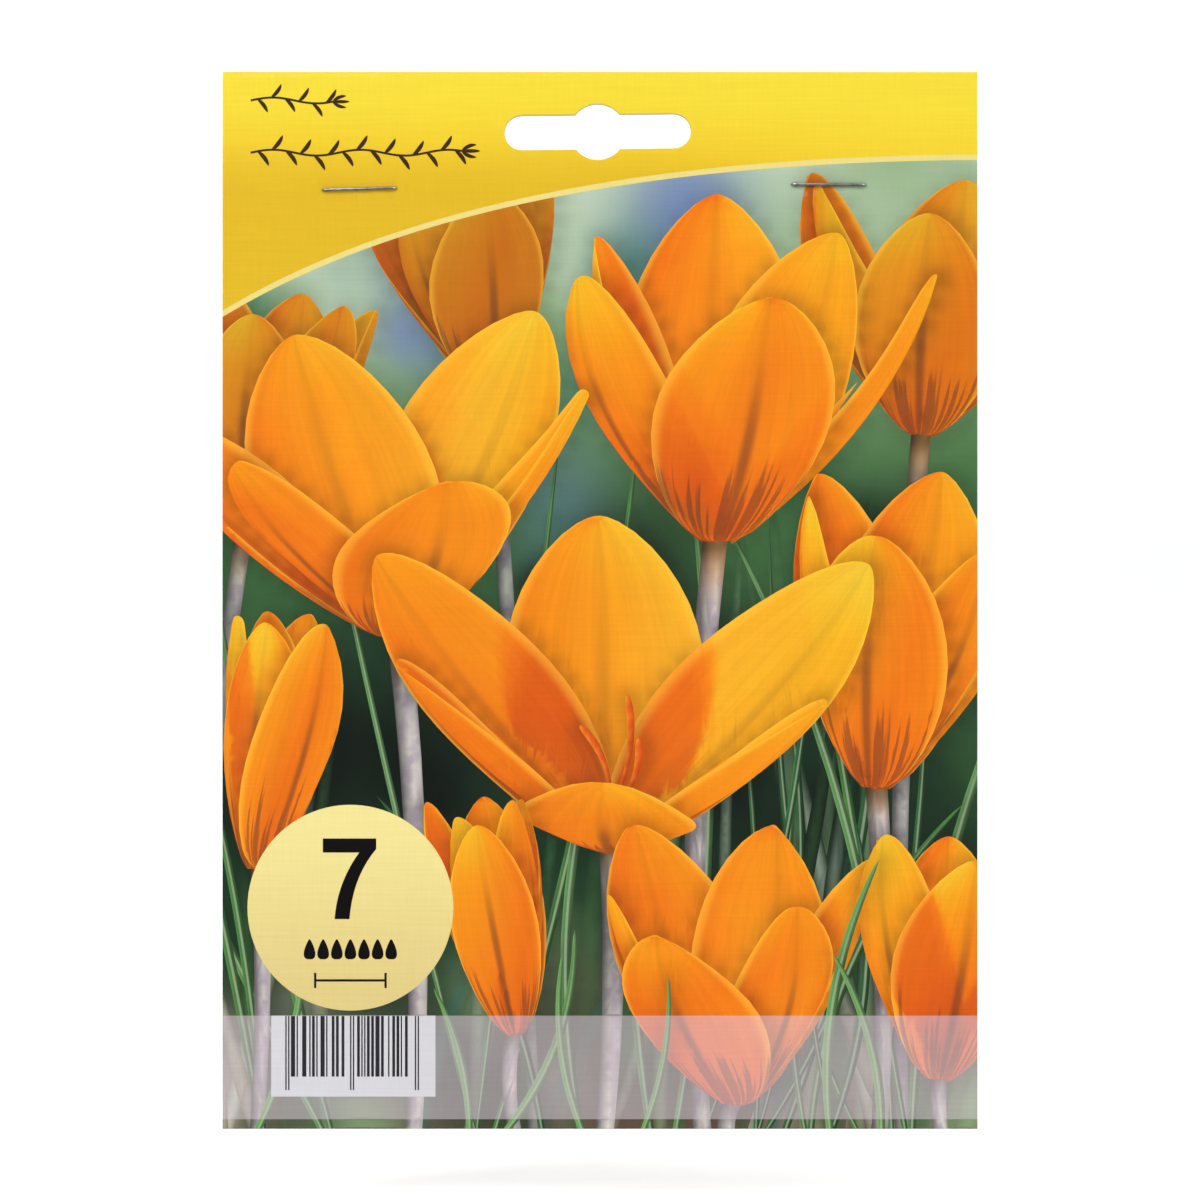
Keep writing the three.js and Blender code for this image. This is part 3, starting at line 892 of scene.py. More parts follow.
def grey_of(tree, amount):
    return node(tree, "ShaderNodeCombineColor", {0: amount, 1: amount, 2: amount}).outputs[0]


def joined(tree, x, y, z):
    return node(tree, "ShaderNodeCombineXYZ", {"X": x, "Y": y, "Z": z}).outputs[0]


def parted(tree, vector):
    return node(tree, "ShaderNodeSeparateXYZ", {"Vector": vector}).outputs


def kept_on(tree, name, output="Fac"):
    """A value that the piece's own points or corners carry."""
    return node(tree, "ShaderNodeAttribute", attribute_name=name).outputs[output]


def mixed(tree, share, first, second, blend_type="MIX"):
    inputs = {"Factor": share, "A": first, "B": second}
    made = tree.nodes.new("ShaderNodeMix")
    made.data_type, made.blend_type = "RGBA", blend_type
    for socket in made.inputs:
        if socket.enabled and socket.name in inputs:
            value = inputs[socket.name]
            if isinstance(value, bpy.types.NodeSocket):
                tree.links.new(value, socket)
            else:
                socket.default_value = value if socket.name == "Factor" else (*value, 1)
    return next(s for s in made.outputs if s.enabled)


def between(tree, value, low, high, to_low=0.0, to_high=1.0):
    inputs = {"Value": value, "From Min": low, "From Max": high, "To Min": to_low, "To Max": to_high}
    return node(tree, "ShaderNodeMapRange", inputs, interpolation_type="SMOOTHSTEP").outputs[0]


def noise(tree, vector, scale, detail=2.0, roughness=0.5):
    inputs = {"Vector": vector, "Scale": scale, "Detail": detail, "Roughness": roughness}
    return node(tree, "ShaderNodeTexNoise", inputs).outputs["Fac"]


def stretched(tree, vector, scale):
    return node(tree, "ShaderNodeMapping", {"Vector": vector, "Scale": scale}).outputs[0]


def new_material(name):
    material = bpy.data.materials.new(name)
    material.use_nodes = True
    tree = material.node_tree
    shader = tree.nodes["Principled BSDF"]
    place = tree.nodes.new("ShaderNodeTexCoord").outputs["Object"]
    return material, tree, shader, place


def bump(tree, shader, height, strength, distance):
    made = node(tree, "ShaderNodeBump", {"Height": height, "Strength": strength, "Distance": distance})
    tree.links.new(made.outputs[0], shader.inputs["Normal"])


def printed_board():
    material, tree, shader, place = new_material("printed_board")
    inks = kept_on(tree, "ink", "Color")
    parts = node(tree, "ShaderNodeSeparateColor", {"Color": kept_on(tree, "detail", "Color")}).outputs
    petal_mask, streak_mask, rib_mask = parts[0], parts[1], parts[2]
    wear_mask, veil = kept_on(tree, "detail", "Alpha"), kept_on(tree, "veil")
    flow = parted(tree, node(tree, "ShaderNodeUVMap", uv_map="flow").outputs[0])
    along, across = flow[0], flow[1]
    away = maths(tree, "ABSOLUTE", across)
    wander = maths(tree, "MULTIPLY", parted(tree, place)[0], 30.0)
    grown = joined(tree, maths(tree, "MULTIPLY", along, 1.1), across, wander)
    # Veins that run up a petal, and the soft crease down its middle
    broad = noise(tree, stretched(tree, grown, (1.0, 4.0, 1.0)), 1.0, 3.0)
    fine = noise(tree, stretched(tree, grown, (1.6, 22.0, 1.0)), 1.0, 2.0)
    veins = maths(tree, "ADD", maths(tree, "MULTIPLY", broad, 0.24), maths(tree, "MULTIPLY", fine, 0.16))
    veins = maths(tree, "ADD", veins, 0.8)
    crease = maths(tree, "SUBTRACT", 1.0, between(tree, away, 0.0, 0.16))
    veins = maths(tree, "SUBTRACT", veins, maths(tree, "MULTIPLY", crease, 0.09))
    veins = maths(tree, "MULTIPLY", petal_mask, maths(tree, "SUBTRACT", veins, 1.0))
    colour = mixed(tree, 1.0, inks, grey_of(tree, maths(tree, "ADD", veins, 1.0)), "MULTIPLY")
    # The petal's margin catches the light
    lit_edge = maths(tree, "MULTIPLY", between(tree, away, 0.84, 1.0), petal_mask)
    colour = mixed(tree, maths(tree, "MULTIPLY", lit_edge, 0.34), colour, (1.0, 0.6, 0.05))
    # Dark feathers up from the petal's foot, and one along its middle
    feather = noise(tree, stretched(tree, grown, (0.9, 11.0, 1.0)), 1.0, 2.0)
    reach = maths(tree, "SUBTRACT", between(tree, feather, 0.38, 0.72), between(tree, along, 0.05, 0.5))
    dark = maths(tree, "MULTIPLY", between(tree, reach, 0.0, 0.35), streak_mask)
    middle = maths(tree, "SUBTRACT", 1.0, between(tree, away, 0.015, 0.1))
    middle = maths(tree, "MULTIPLY", middle, maths(tree, "SUBTRACT", 1.0, between(tree, along, 0.45, 0.82)))
    dark = maths(tree, "MAXIMUM", dark, maths(tree, "MULTIPLY", middle, streak_mask))
    colour = mixed(tree, maths(tree, "MULTIPLY", dark, 0.72), colour, (0.1, 0.03, 0.012))
    # A leaf's pale rib, and the milky band over everything at the foot
    rib = maths(tree, "SUBTRACT", 1.0, between(tree, away, 0.1, 0.42))
    rib = maths(tree, "MULTIPLY", maths(tree, "MULTIPLY", rib, rib_mask), 0.38)
    colour = mixed(tree, rib, colour, (0.5, 0.6, 0.4))
    colour = mixed(tree, maths(tree, "MULTIPLY", veil, 0.38), colour, (0.58, 0.51, 0.55))
    # The press's grain, in fine rows and columns
    rows = noise(tree, stretched(tree, place, (60, 60, 2600)), 1.0, 1.0)
    weave = noise(tree, stretched(tree, place, (2200, 60, 160)), 1.0, 1.0)
    grain = maths(tree, "ADD", maths(tree, "MULTIPLY", rows, 0.1), maths(tree, "MULTIPLY", weave, 0.06))
    colour = mixed(tree, 1.0, colour, grey_of(tree, maths(tree, "ADD", grain, 0.92)), "MULTIPLY")
    # Ink rubbed off the fold and the cut edges
    scuffed = between(tree, noise(tree, place, 900.0, 4.0, 0.7), 0.56, 0.7)
    rubbed = between(tree, noise(tree, place, 38.0, 2.0), 0.46, 0.66, 0.04, 0.3)
    worn = maths(tree, "MULTIPLY", maths(tree, "MULTIPLY", scuffed, wear_mask), rubbed)
    colour = mixed(tree, worn, colour, (0.86, 0.82, 0.72))
    tree.links.new(colour, shader.inputs["Base Color"])
    satin = between(tree, noise(tree, place, 70.0, 3.0), 0.3, 0.7, 0.29, 0.32)
    tree.links.new(satin, shader.inputs["Roughness"])
    shader.inputs["Specular IOR Level"].default_value = 0.26
    shader.inputs["Coat Weight"].default_value = 0.06
    shader.inputs["Coat Roughness"].default_value = 0.2
    height = maths(tree, "ADD", noise(tree, place, 45.0, 2.0), maths(tree, "MULTIPLY", rows, 0.03))
    bump(tree, shader, height, 0.07, 0.0006)
    return material


def plain_board():
    material, tree, shader, place = new_material("plain_board")
    fibre = noise(tree, stretched(tree, place, (1500, 1500, 800)), 1.0, 4.0, 0.65)
    cloud = noise(tree, place, 60.0, 3.0)
    fleck = noise(tree, place, 1100.0, 2.0)
    colour = mixed(tree, between(tree, fibre, 0.3, 0.7), (0.64, 0.61, 0.55), (0.72, 0.7, 0.64))
    colour = mixed(tree, between(tree, cloud, 0.3, 0.7, 0.0, 0.35), colour, (0.63, 0.59, 0.51))
    colour = mixed(tree, between(tree, fleck, 0.7, 0.76, 0.0, 0.5), colour, (0.34, 0.29, 0.23))
    tree.links.new(colour, shader.inputs["Base Color"])
    shader.inputs["Roughness"].default_value = 0.86
    bump(tree, shader, fibre, 0.35, 0.0001)
    return material


board_outside, board_inside = printed_board(), plain_board()
card = new_piece("printed_card", card_bm, board_outside, board_inside)


def linear(colour):
    return np.where(colour <= 0.04045, colour / 12.92, ((colour + 0.055) / 1.055) ** 2.4)


# White board under press inks sends back three quarters of the light at most
INK_WHITE = 0.76
opaque = np.ones((len(faces) * 3, 1))
corner_rgba = np.hstack((linear(np.clip(corner_ink.reshape(-1, 3), 0, 1)) * INK_WHITE, opaque))
on_edge = np.zeros(len(flat))
rim_distance = np.min((flat[:, 0], CARD_WIDTH - flat[:, 0], flat[:, 1], SHEET - flat[:, 1]), axis=0)
on_edge[rim_distance < 0.01] = 1
for layer in kept_layers:
    if layer["role"] == "hole":
        gap = ((flat[:, None] - layer["outline"][None]) ** 2).sum(2).min(1)
        on_edge[gap < 0.01**2] = 1
corner_detail[:, :, 3] = np.maximum(corner_detail[:, :, 3], on_edge[faces])
corner_veil = np.repeat(banded.astype(float), 3)
mesh = card.data
for name, kind, field, values in (
    ("ink", "FLOAT_COLOR", "color", corner_rgba),
    ("detail", "FLOAT_COLOR", "color", corner_detail.reshape(-1, 4)),
    ("veil", "FLOAT", "value", corner_veil),
):
    attribute = mesh.attributes.new(name, kind, "CORNER")
    attribute.data.foreach_set(field, values.astype(np.float32).ravel())
flow_map = mesh.uv_layers.new(name="flow")
flow_map.data.foreach_set("uv", corner_flow.astype(np.float32).ravel())
thickness = card.modifiers.new("board", "SOLIDIFY")
thickness.thickness = BOARD * MM
thickness.offset = -1
thickness.material_offset = 1
thickness.material_offset_rim = 1
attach(card, "root")
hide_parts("card")

# ---- The bag -------------------------------------------------------------------------------------
# Clear polythene cut from a flat tube: creased down both sides, welded across its foot, its mouth
# between the card's panel and flap. It is drawn over the corms, and air holes are punched through it.
BAG_WIDTH, BAG_TOP_DROP, BAG_BOTTOM_DROP, WELD = 118, 16.3, 176.8, 5
WAIST, WAIST_DROP, WAIST_SPREAD = 4.5, 145, 35
LIFT_OFF = 5
FLAT_BAG, FILM, CAD_FILM = 0.3, 0.07, 0.3
VENT, VENT_LIP, VENT_SIDE, VENT_DROPS = 6, 0.5, 30, (50, 80, 110)
bag_low, bag_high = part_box("bag")
BAG_X = (bag_low.x + bag_high.x) / 2 / MM
BAG_FRONT = bag_low.y / MM + 0.05
TOP_Z = card_high.z / MM


def drop(distance):
    return TOP_Z - distance


# The corms under the film: girth round the middle, centre across and up, the way the shoot points,
# and how many shoots there are
FLATNESS, SHOOT, SHOOT_RADIUS, CORM_ROOM = 0.8, 5.6, 2.4, 0.4
CORMS = (
    (76, -36.8, -149.4, (-0.5, 0.3, 0.81), 1),
    (72, -12.7, -150.0, (0.1, 0.95, 0.3), 2),
    (79, 11.9, -149.0, (0.2, -0.9, -0.3), 1),
    (74, 36.8, -149.6, (0.62, 0.25, 0.74), 1),
    (71, -25.2, -128.6, (-0.2, 0.15, 0.97), 2),
    (77, -0.6, -127.4, (0.25, 0.55, 0.8), 1),
    (73, 24.2, -128.0, (0.75, 0.3, 0.59), 1),
)


def placed_corm(girth, x, z, points, shoots):
    radius = girth / (2 * math.pi)
    half = radius * FLATNESS
    axis = Vector(points).normalized()
    body = math.hypot(radius * math.sqrt(1 - axis.y**2), half * axis.y)
    shoot = -axis.y * (half + SHOOT) + SHOOT_RADIUS * math.sqrt(1 - axis.y**2)
    y = bag_low.y / MM + CAD_FILM + CORM_ROOM + max(body, shoot)
    return radius, half, axis, Vector((BAG_X + x, y, z)), shoots


corms = [placed_corm(*corm) for corm in CORMS]


def half_width(z):
    return BAG_WIDTH / 2 - WAIST * np.exp(-(((z - drop(WAIST_DROP)) / WAIST_SPREAD) ** 2))


def back_reach(centre, axis, wide, long, x, z):
    """How far back an ellipsoid reaches at x, z, and far in front where the line misses it."""
    ux, uz = x - centre.x, z - centre.z
    k = 1 / long**2 - 1 / wide**2
    along = ux * axis.x + uz * axis.z
    a = 1 / wide**2 + k * axis.y**2
    b = 2 * k * along * axis.y
    c = (ux**2 + uz**2) / wide**2 + k * along**2 - 1
    inside = b * b - 4 * a * c
    reach = centre.y + (np.sqrt(np.maximum(inside, 0)) - b) / (2 * a)
    return np.where(inside < 0, -1e3, reach)


# The film drawn tight over the corms: a net of depths that only they and its edges hold back, made
# taut by many sweeps, each of which moves every other point some way past the mean of its neighbours
TENT_ROOM, FIBRE_ROOM = 1.1, 0.5
SWEEPS, EAGER = 700, 1.9
u_net, z_net = np.linspace(-1, 1, 119), np.linspace(drop(BAG_BOTTOM_DROP), drop(BAG_TOP_DROP), 161)
net_z = np.repeat(z_net[:, None], len(u_net), 1)
net_x = BAG_X + u_net[None] * half_width(net_z)
flat_back = BAG_FRONT + FLAT_BAG
least = np.full(net_x.shape, flat_back)
for radius, half, axis, centre, shoots in corms:
    nose = centre + axis * (half + 1)
    for middle, wide, long in ((centre, radius, half), (nose, SHOOT_RADIUS + FIBRE_ROOM, SHOOT)):
        reach = back_reach(middle, axis, wide + TENT_ROOM, long + TENT_ROOM, net_x, net_z)
        least = np.maximum(least, reach)
held = (net_z < drop(BAG_BOTTOM_DROP) + WELD) | (net_z > drop(FLAP_DEPTH) - LIFT_OFF)
held[:, [0, -1]] = True
least[held] = flat_back
depth = least.copy()
row, column = np.indices(depth.shape)
across = 1 / (net_x[:, 1:2] - net_x[:, :1])[1:-1] ** 2
up = 1 / (z_net[1] - z_net[0]) ** 2
for _ in range(SWEEPS):
    for parity in (0, 1):
        beside = depth[1:-1, :-2] + depth[1:-1, 2:]
        over_and_under = depth[:-2, 1:-1] + depth[2:, 1:-1]
        taut = (across * beside + up * over_and_under) / (2 * (across + up))
        here = depth[1:-1, 1:-1]
        turn = ((row + column)[1:-1, 1:-1] % 2 == parity) & ~held[1:-1, 1:-1]
        moved = np.maximum(least[1:-1, 1:-1], here + EAGER * (taut - here))
        depth[1:-1, 1:-1] = np.where(turn, moved, here)

# Tension folds: from the staples and the flap down to the corms, in from the creased sides, and up
# from the weld. Each is a low ridge along a line, with a lower one beside it.
draw = random.Random(23)
folds = []
for n in range(26):
    start = -56 + 4.5 * n + draw.uniform(-2, 2)
    line = (start, drop(36), 0.72 * start + draw.uniform(-5, 5), drop(draw.uniform(92, 122)))
    folds.append((*line, draw.uniform(0.25, 0.8), draw.uniform(1.0, 2.4)))
for n in range(22):
    side = 1 if n % 2 else -1
    z = drop(104 + 3.1 * n + draw.uniform(-2, 2))
    line = (side * 56, z, side * (56 - draw.uniform(9, 22)), z + draw.uniform(-5, 8))
    folds.append((*line, draw.uniform(0.3, 0.7), draw.uniform(0.8, 1.5)))
for n in range(24):
    x = -50 + 4.35 * n + draw.uniform(-1.5, 1.5)
    line = (x, drop(172), x * 0.94 + draw.uniform(-2, 2), drop(172 - draw.uniform(6, 15)))
    folds.append((*line, draw.uniform(0.3, 0.75), draw.uniform(0.7, 1.4)))


def fold_lift(x, z):
    """How far the folds lift the film: each fold has its line's ends, its height and its width."""
    lift = np.zeros(np.shape(x))
    for x0, z0, x1, z1, height, width in folds:
        length = math.hypot(x1 - x0, z1 - z0)
        ax, az = (x1 - x0) / length, (z1 - z0) / length
        t = ((x - BAG_X - x0) * ax + (z - z0) * az) / length
        d = (x - BAG_X - x0) * az - (z - z0) * ax
        d = d + 1.2 * np.sin(5 * t + x0)
        taper = np.clip(t, 0, 1) ** 0.5 * np.clip(1 - t, 0, 1) ** 0.8 * 1.6
        ridge = np.exp(-np.abs(d / width) ** 1.6) - 0.4 * np.exp(-np.abs((d - 2.2 * width) / width) ** 2)
        lift += height * taper * ridge
    return lift


def film_depth(x, z):
    """The back film's depth at places on the bag, between the points of the net."""
    u = (x - BAG_X) / half_width(z)
    i = np.clip((u + 1) / 2 * (len(u_net) - 1), 0, len(u_net) - 1.001)
    j = np.clip((z - z_net[0]) / (z_net[1] - z_net[0]), 0, len(z_net) - 1.001)
    i0, j0 = i.astype(int), j.astype(int)
    fi, fj = i - i0, j - j0

    def read(table):
        low = table[j0, i0] * (1 - fi) + table[j0, i0 + 1] * fi
        high = table[j0 + 1, i0] * (1 - fi) + table[j0 + 1, i0 + 1] * fi
        return low * (1 - fj) + high * fj

    slack = read(depth - flat_back) / 6
    lift = fold_lift(x, z) * np.clip(slack, 0, 1) * np.clip((1 - np.abs(u)) * 8, 0, 1)
    return np.maximum(read(depth) + lift, read(least))


# The film's flat outline, its air holes and a fine net of places between them
film_points, film_faces = [], []
bottom, mouth = drop(BAG_BOTTOM_DROP), drop(BAG_TOP_DROP)
side_z = np.linspace(bottom, mouth, 110)
right = np.stack((BAG_X + half_width(side_z), side_z), 1)
left = np.stack((BAG_X - half_width(side_z), side_z), 1)
foot_x = np.linspace(left[0, 0], right[0, 0], 82)[1:-1]
mouth_x = np.linspace(right[-1, 0], left[-1, 0], 82)[1:-1]
foot = np.stack((foot_x, np.full(80, bottom)), 1)
top = np.stack((mouth_x, np.full(80, mouth)), 1)
outline = np.concatenate((foot, right, top, left[::-1]))
vent_places = [(BAG_X + side * VENT_SIDE, drop(down)) for side in (-1, 1) for down in VENT_DROPS]
vents = [arc_points(place, VENT / 2, 0, 348, 30) for place in vent_places]
lips = [arc_points(place, VENT / 2 + VENT_LIP, 0, 348, 30) for place in vent_places]
for line in [outline] + vents + lips:
    film_faces.append(list(range(len(film_points), len(film_points) + len(line))))
    film_points.extend(Vector(p) for p in line)
film_points.extend(Vector((x, bottom + WELD)) for x in np.linspace(left[0, 0] + 1, right[0, 0] - 1, 90))
FILM_PITCH = 1.15
for n in range(1, int((mouth - bottom) / FILM_PITCH)):
    z = bottom + n * FILM_PITCH
    reach = half_width(z) - 0.6
    count = int(2 * reach / FILM_PITCH)
    for m in range(count + 1):
        x = BAG_X - reach + (m + (0.5 if n % 2 else 0)) * 2 * reach / count
        if x < BAG_X + reach:
            film_points.append(Vector((x, z)))
film_flat, _, film_tris, _, _, film_owners = delaunay_2d_cdt(film_points, [], film_faces, 1, 1e-4, True)
film_flat = np.array([tuple(p) for p in film_flat])
punched = set(range(1, 1 + len(vents)))
film_tris = [face for face, own in zip(film_tris, film_owners) if not punched & set(own)]
edge_gap = half_width(film_flat[:, 1]) - np.abs(film_flat[:, 0] - BAG_X)
on_rim = (edge_gap < 1e-3) | (film_flat[:, 1] < bottom + 1e-3)
back_y = film_depth(film_flat[:, 0], film_flat[:, 1])
# The punch raises the film a little round each hole
for vent_x, vent_z in vent_places:
    away = np.hypot(film_flat[:, 0] - vent_x, film_flat[:, 1] - vent_z)
    back_y += 0.22 * np.exp(-(((away - VENT / 2) / 0.35) ** 2))

# Front film and back film, joined along the creased sides and the foot
bag_bm = bmesh.new()
front_verts, back_verts = [], []
for (x, z), rim, y in zip(film_flat, on_rim, back_y):
    if rim:
        shared = bag_bm.verts.new((x * MM, (BAG_FRONT + FLAT_BAG / 2) * MM, z * MM))
        front_verts.append(shared)
        back_verts.append(shared)
    else:
        front_verts.append(bag_bm.verts.new((x * MM, BAG_FRONT * MM, z * MM)))
        back_verts.append(bag_bm.verts.new((x * MM, y * MM, z * MM)))
for a, b, c in film_tris:
    welded = film_flat[[a, b, c], 1].mean() < bottom + WELD
    for verts, order in ((front_verts, (a, b, c)), (back_verts, (c, b, a))):
        doubled = verts is back_verts and all(on_rim[n] for n in order)
        if len({verts[n] for n in order}) == 3 and not doubled:
            face = bag_bm.faces.new([verts[n] for n in order])
            face.smooth = True
            face.material_index = int(welded)
bmesh.ops.delete(bag_bm, geom=[v for v in bag_bm.verts if not v.link_faces], context="VERTS")


def clear_film(name, haze, ribbed):
    """Film that lets nearly all light through and shines where it is creased; a weld is ribbed."""
    material, tree, shader, place = new_material(name)
    shader.inputs["Base Color"].default_value = (0.95, 0.97, 0.98, 1)
    shader.inputs["Metallic"].default_value = 0.85
    shader.inputs["Roughness"].default_value = 0.09
    crinkle = noise(tree, stretched(tree, place, (140, 140, 60)), 1.0, 3.0, 0.6)
    stress = noise(tree, stretched(tree, place, (420, 420, 36)), 1.0, 4.0, 0.6)
    tree.links.new(between(tree, stress, 0.55, 0.8, haze, 2.6 * haze), shader.inputs["Alpha"])
    height = maths(tree, "ABSOLUTE", maths(tree, "SUBTRACT", crinkle, 0.5))
    if ribbed:
        ribs = maths(tree, "SINE", maths(tree, "MULTIPLY", parted(tree, place)[2], 2 * math.pi / 0.0009))
        height = maths(tree, "ADD", height, maths(tree, "MULTIPLY", ribs, 0.35))
    bump(tree, shader, height, 0.5, 0.0007)
    return material


single, welded = clear_film("clear_film", 0.045, False), clear_film("welded_film", 0.1, True)
bag = new_piece("clear_bag", bag_bm, single, welded)
thickness = bag.modifiers.new("film", "SOLIDIFY")
thickness.thickness = FILM * MM
thickness.offset = -1
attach(bag, "root")
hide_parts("bag")

# ---- The corms -----------------------------------------------------------------------------------
# Seven crocus corms: squat, creamy and firm, wrapped in a net of tan fibres that has torn in places,
# with a ringed scar below and an ivory shoot that pushes out of its sheath above.
COAT_TAN, COAT_BROWN, COAT_DARK = (0.42, 0.235, 0.105), (0.25, 0.12, 0.05), (0.085, 0.038, 0.018)
FLESH, SHOOT_PALE, SHOOT_TIP = (0.78, 0.66, 0.45), (0.82, 0.79, 0.62), (0.62, 0.66, 0.3)


def grown_parts(tree):
    """The corm's own axes, kept on its points: the way round its middle, and up its axis in
    millimetres."""
    grown = kept_on(tree, "grown", "Vector")
    x, height, z = parted(tree, grown)
    square = maths(tree, "ADD", maths(tree, "MULTIPLY", x, x), maths(tree, "MULTIPLY", z, z))
    reach = maths(tree, "MAXIMUM", maths(tree, "SQRT", square), 0.4)
    return maths(tree, "DIVIDE", x, reach), maths(tree, "DIVIDE", z, reach), height, grown


def corm_coat():
    material, tree, shader, _ = new_material("fibrous_coat")
    way_x, way_z, height, grown = grown_parts(tree)

    def round_noise(fine, tall, detail=3.0):
        parts = ((way_x, fine), (way_z, fine), (height, tall))
        scaled = [maths(tree, "MULTIPLY", part, by) for part, by in parts]
        return noise(tree, joined(tree, *scaled), 1.0, detail, 0.6)

    strands, threads = round_noise(16, 0.12), round_noise(55, 0.2, 2.0)
    patches = noise(tree, grown, 0.22, 3.0, 0.6)
    bare = kept_on(tree, "bare")
    colour = mixed(tree, between(tree, strands, 0.32, 0.68), COAT_BROWN, COAT_TAN)
    colour = mixed(tree, between(tree, threads, 0.52, 0.66, 0.0, 0.75), colour, (0.5, 0.32, 0.17))
    colour = mixed(tree, between(tree, threads, 0.5, 0.34, 0.0, 0.7), colour, COAT_DARK)
    colour = mixed(tree, between(tree, patches, 0.55, 0.72, 0.0, 0.6), colour, COAT_DARK)
    flesh = mixed(tree, between(tree, patches, 0.35, 0.65), FLESH, (0.66, 0.5, 0.28))
    ragged = maths(tree, "ADD", bare, maths(tree, "MULTIPLY", maths(tree, "SUBTRACT", threads, 0.5), 0.55))
    shown = between(tree, ragged, 0.42, 0.58)
    colour = mixed(tree, shown, colour, flesh)
    tree.links.new(colour, shader.inputs["Base Color"])
    tree.links.new(between(tree, shown, 0.0, 1.0, 0.72, 0.42), shader.inputs["Roughness"])
    relief = maths(tree, "ADD", maths(tree, "MULTIPLY", threads, 0.7), maths(tree, "MULTIPLY", strands, 0.6))
    relief = maths(tree, "MULTIPLY", relief, between(tree, shown, 0.0, 1.0, 1.0, 0.12))
    bump(tree, shader, relief, 0.9, 0.0005)
    return material


def corm_shoot():
    material, tree, shader, _ = new_material("ivory_shoot")
    grown = kept_on(tree, "grown", "Vector")
    rise = kept_on(tree, "bare")
    streaks = noise(tree, stretched(tree, grown, (2.4, 0.25, 2.4)), 1.0, 2.0)
    colour = mixed(tree, between(tree, rise, 0.35, 1.0), SHOOT_PALE, SHOOT_TIP)
    colour = mixed(tree, between(tree, streaks, 0.5, 0.75, 0.0, 0.4), colour, (0.6, 0.5, 0.3))
    tree.links.new(colour, shader.inputs["Base Color"])
    shader.inputs["Roughness"].default_value = 0.4
    shader.inputs["Subsurface Weight"].default_value = 0.15
    shader.inputs["Subsurface Radius"].default_value = (0.0012, 0.0009, 0.0005)
    bump(tree, shader, streaks, 0.4, 0.0003)
    return material


coat, shoot_skin = corm_coat(), corm_shoot()
AROUND, SHOOT_AROUND, SHEATH_AROUND = 180, 28, 40
FIBRES, ROOT_SCARS = 26, 26


def turned(bm, profile, steps, place=Matrix()):
    """Turns an outline of (radius, height) points about the Y axis, and moves it into place."""
    line = [bm.verts.new((r, y, 0)) for r, y in profile]
    edges = [bm.edges.new(pair) for pair in zip(line, line[1:])]
    before = set(bm.verts) - set(line)
    full = dict(cent=(0, 0, 0), axis=(0, 1, 0), angle=2 * math.pi, use_merge=True, use_duplicate=False)
    bmesh.ops.spin(bm, geom=line + edges, steps=steps, **full)
    made = [v for v in bm.verts if v not in before]
    bmesh.ops.remove_doubles(bm, verts=made, dist=1e-4)
    made = [v for v in bm.verts if v not in before]
    faces = list(dict.fromkeys(face for v in made for face in v.link_faces))
    bmesh.ops.recalc_face_normals(bm, faces=faces)
    bmesh.ops.transform(bm, matrix=place, verts=made)
    return made, faces


def corm_outline(radius, half):
    """From the ringed scar below, up the side and in to the shoot's foot."""
    rings = ((0, 0.87), (0.12, 0.87), (0.16, 0.9), (0.24, 0.885), (0.3, 0.92), (0.37, 0.925), (0.45, 0.9))
    outline = [(out * radius, -down * half) for out, down in rings]
    for angle in np.linspace(-58, 66, 56):
        outline.append((radius * math.cos(math.radians(angle)), half * math.sin(math.radians(angle))))
    neck = outline[-1]
    for t in np.linspace(0.15, 1, 8):
        inward, rise = SHOOT_RADIUS * 0.8 - neck[0], half * 1.02 - neck[1]
        outline.append((neck[0] + inward * t, neck[1] + rise * t**1.4))
    return outline + [(0, half * 1.02)]


def shoot_outline(foot, length, width=SHOOT_RADIUS):
    outline = [(0, foot - 0.6), (width * 0.98, foot - 0.6)]
    for t in np.linspace(0, 1, 12)[:-1]:
        outline.append((width * (1 - 0.12 * t) * math.sqrt(max(0, 1 - t**2.6)), foot + t * length))
    return outline + [(0, foot + length)]


def roughen(body, radius, half, number, draw, bare_layer):
    """Ribs the coat along its strands, dents it, and tears it open in a few places."""
    waves = []
    for n in range(10):
        count, phase = draw.randint(9, 70), draw.uniform(0, 6.28)
        waves.append((count, phase, draw.uniform(0.02, 0.06), draw.uniform(-0.05, 0.05)))
    tears = []
    for n in range(draw.choice((2, 2, 3))):
        turn, height = draw.uniform(0, 6.28), draw.uniform(-0.35, 0.4) * half
        tears.append((turn, height, draw.uniform(0.16, 0.42), draw.uniform(0.4, 0.75) * half))
    for v in body:
        reach, angle = math.hypot(v.co.x, v.co.z), math.atan2(v.co.z, v.co.x)
        if reach < 1e-3:
            continue
        bare = 0.0
        for turn, height, wide, tall in tears:
            off = (angle - turn + math.pi) % (2 * math.pi) - math.pi
            ragged = 0.16 * math.sin(17 * angle + height) + 0.2 * math.sin(47 * angle + 2 * turn)
            near = (off / wide) ** 2 + ((v.co.y - height) / (tall * (1 + ragged))) ** 2
            bare = max(bare, min(1.0, max(0.0, 1.45 - near)))
        v[bare_layer] = bare
        ribs = sum(size * math.cos(n * angle + phase + twist * v.co.y) for n, phase, size, twist in waves)
        lump = 0.18 * math.sin(2 * angle + number) + 0.12 * math.sin(3 * angle + 1.7 * number)
        flat = 0.02 * radius * (1 + math.cos(2 * angle + number))
        push = ribs * (1 - 0.8 * bare) - 0.28 * bare - flat + 0.3 * lump
        push *= min(1.0, reach / (0.45 * radius))
        v.co.x *= 1 + push / reach
        v.co.z *= 1 + push / reach


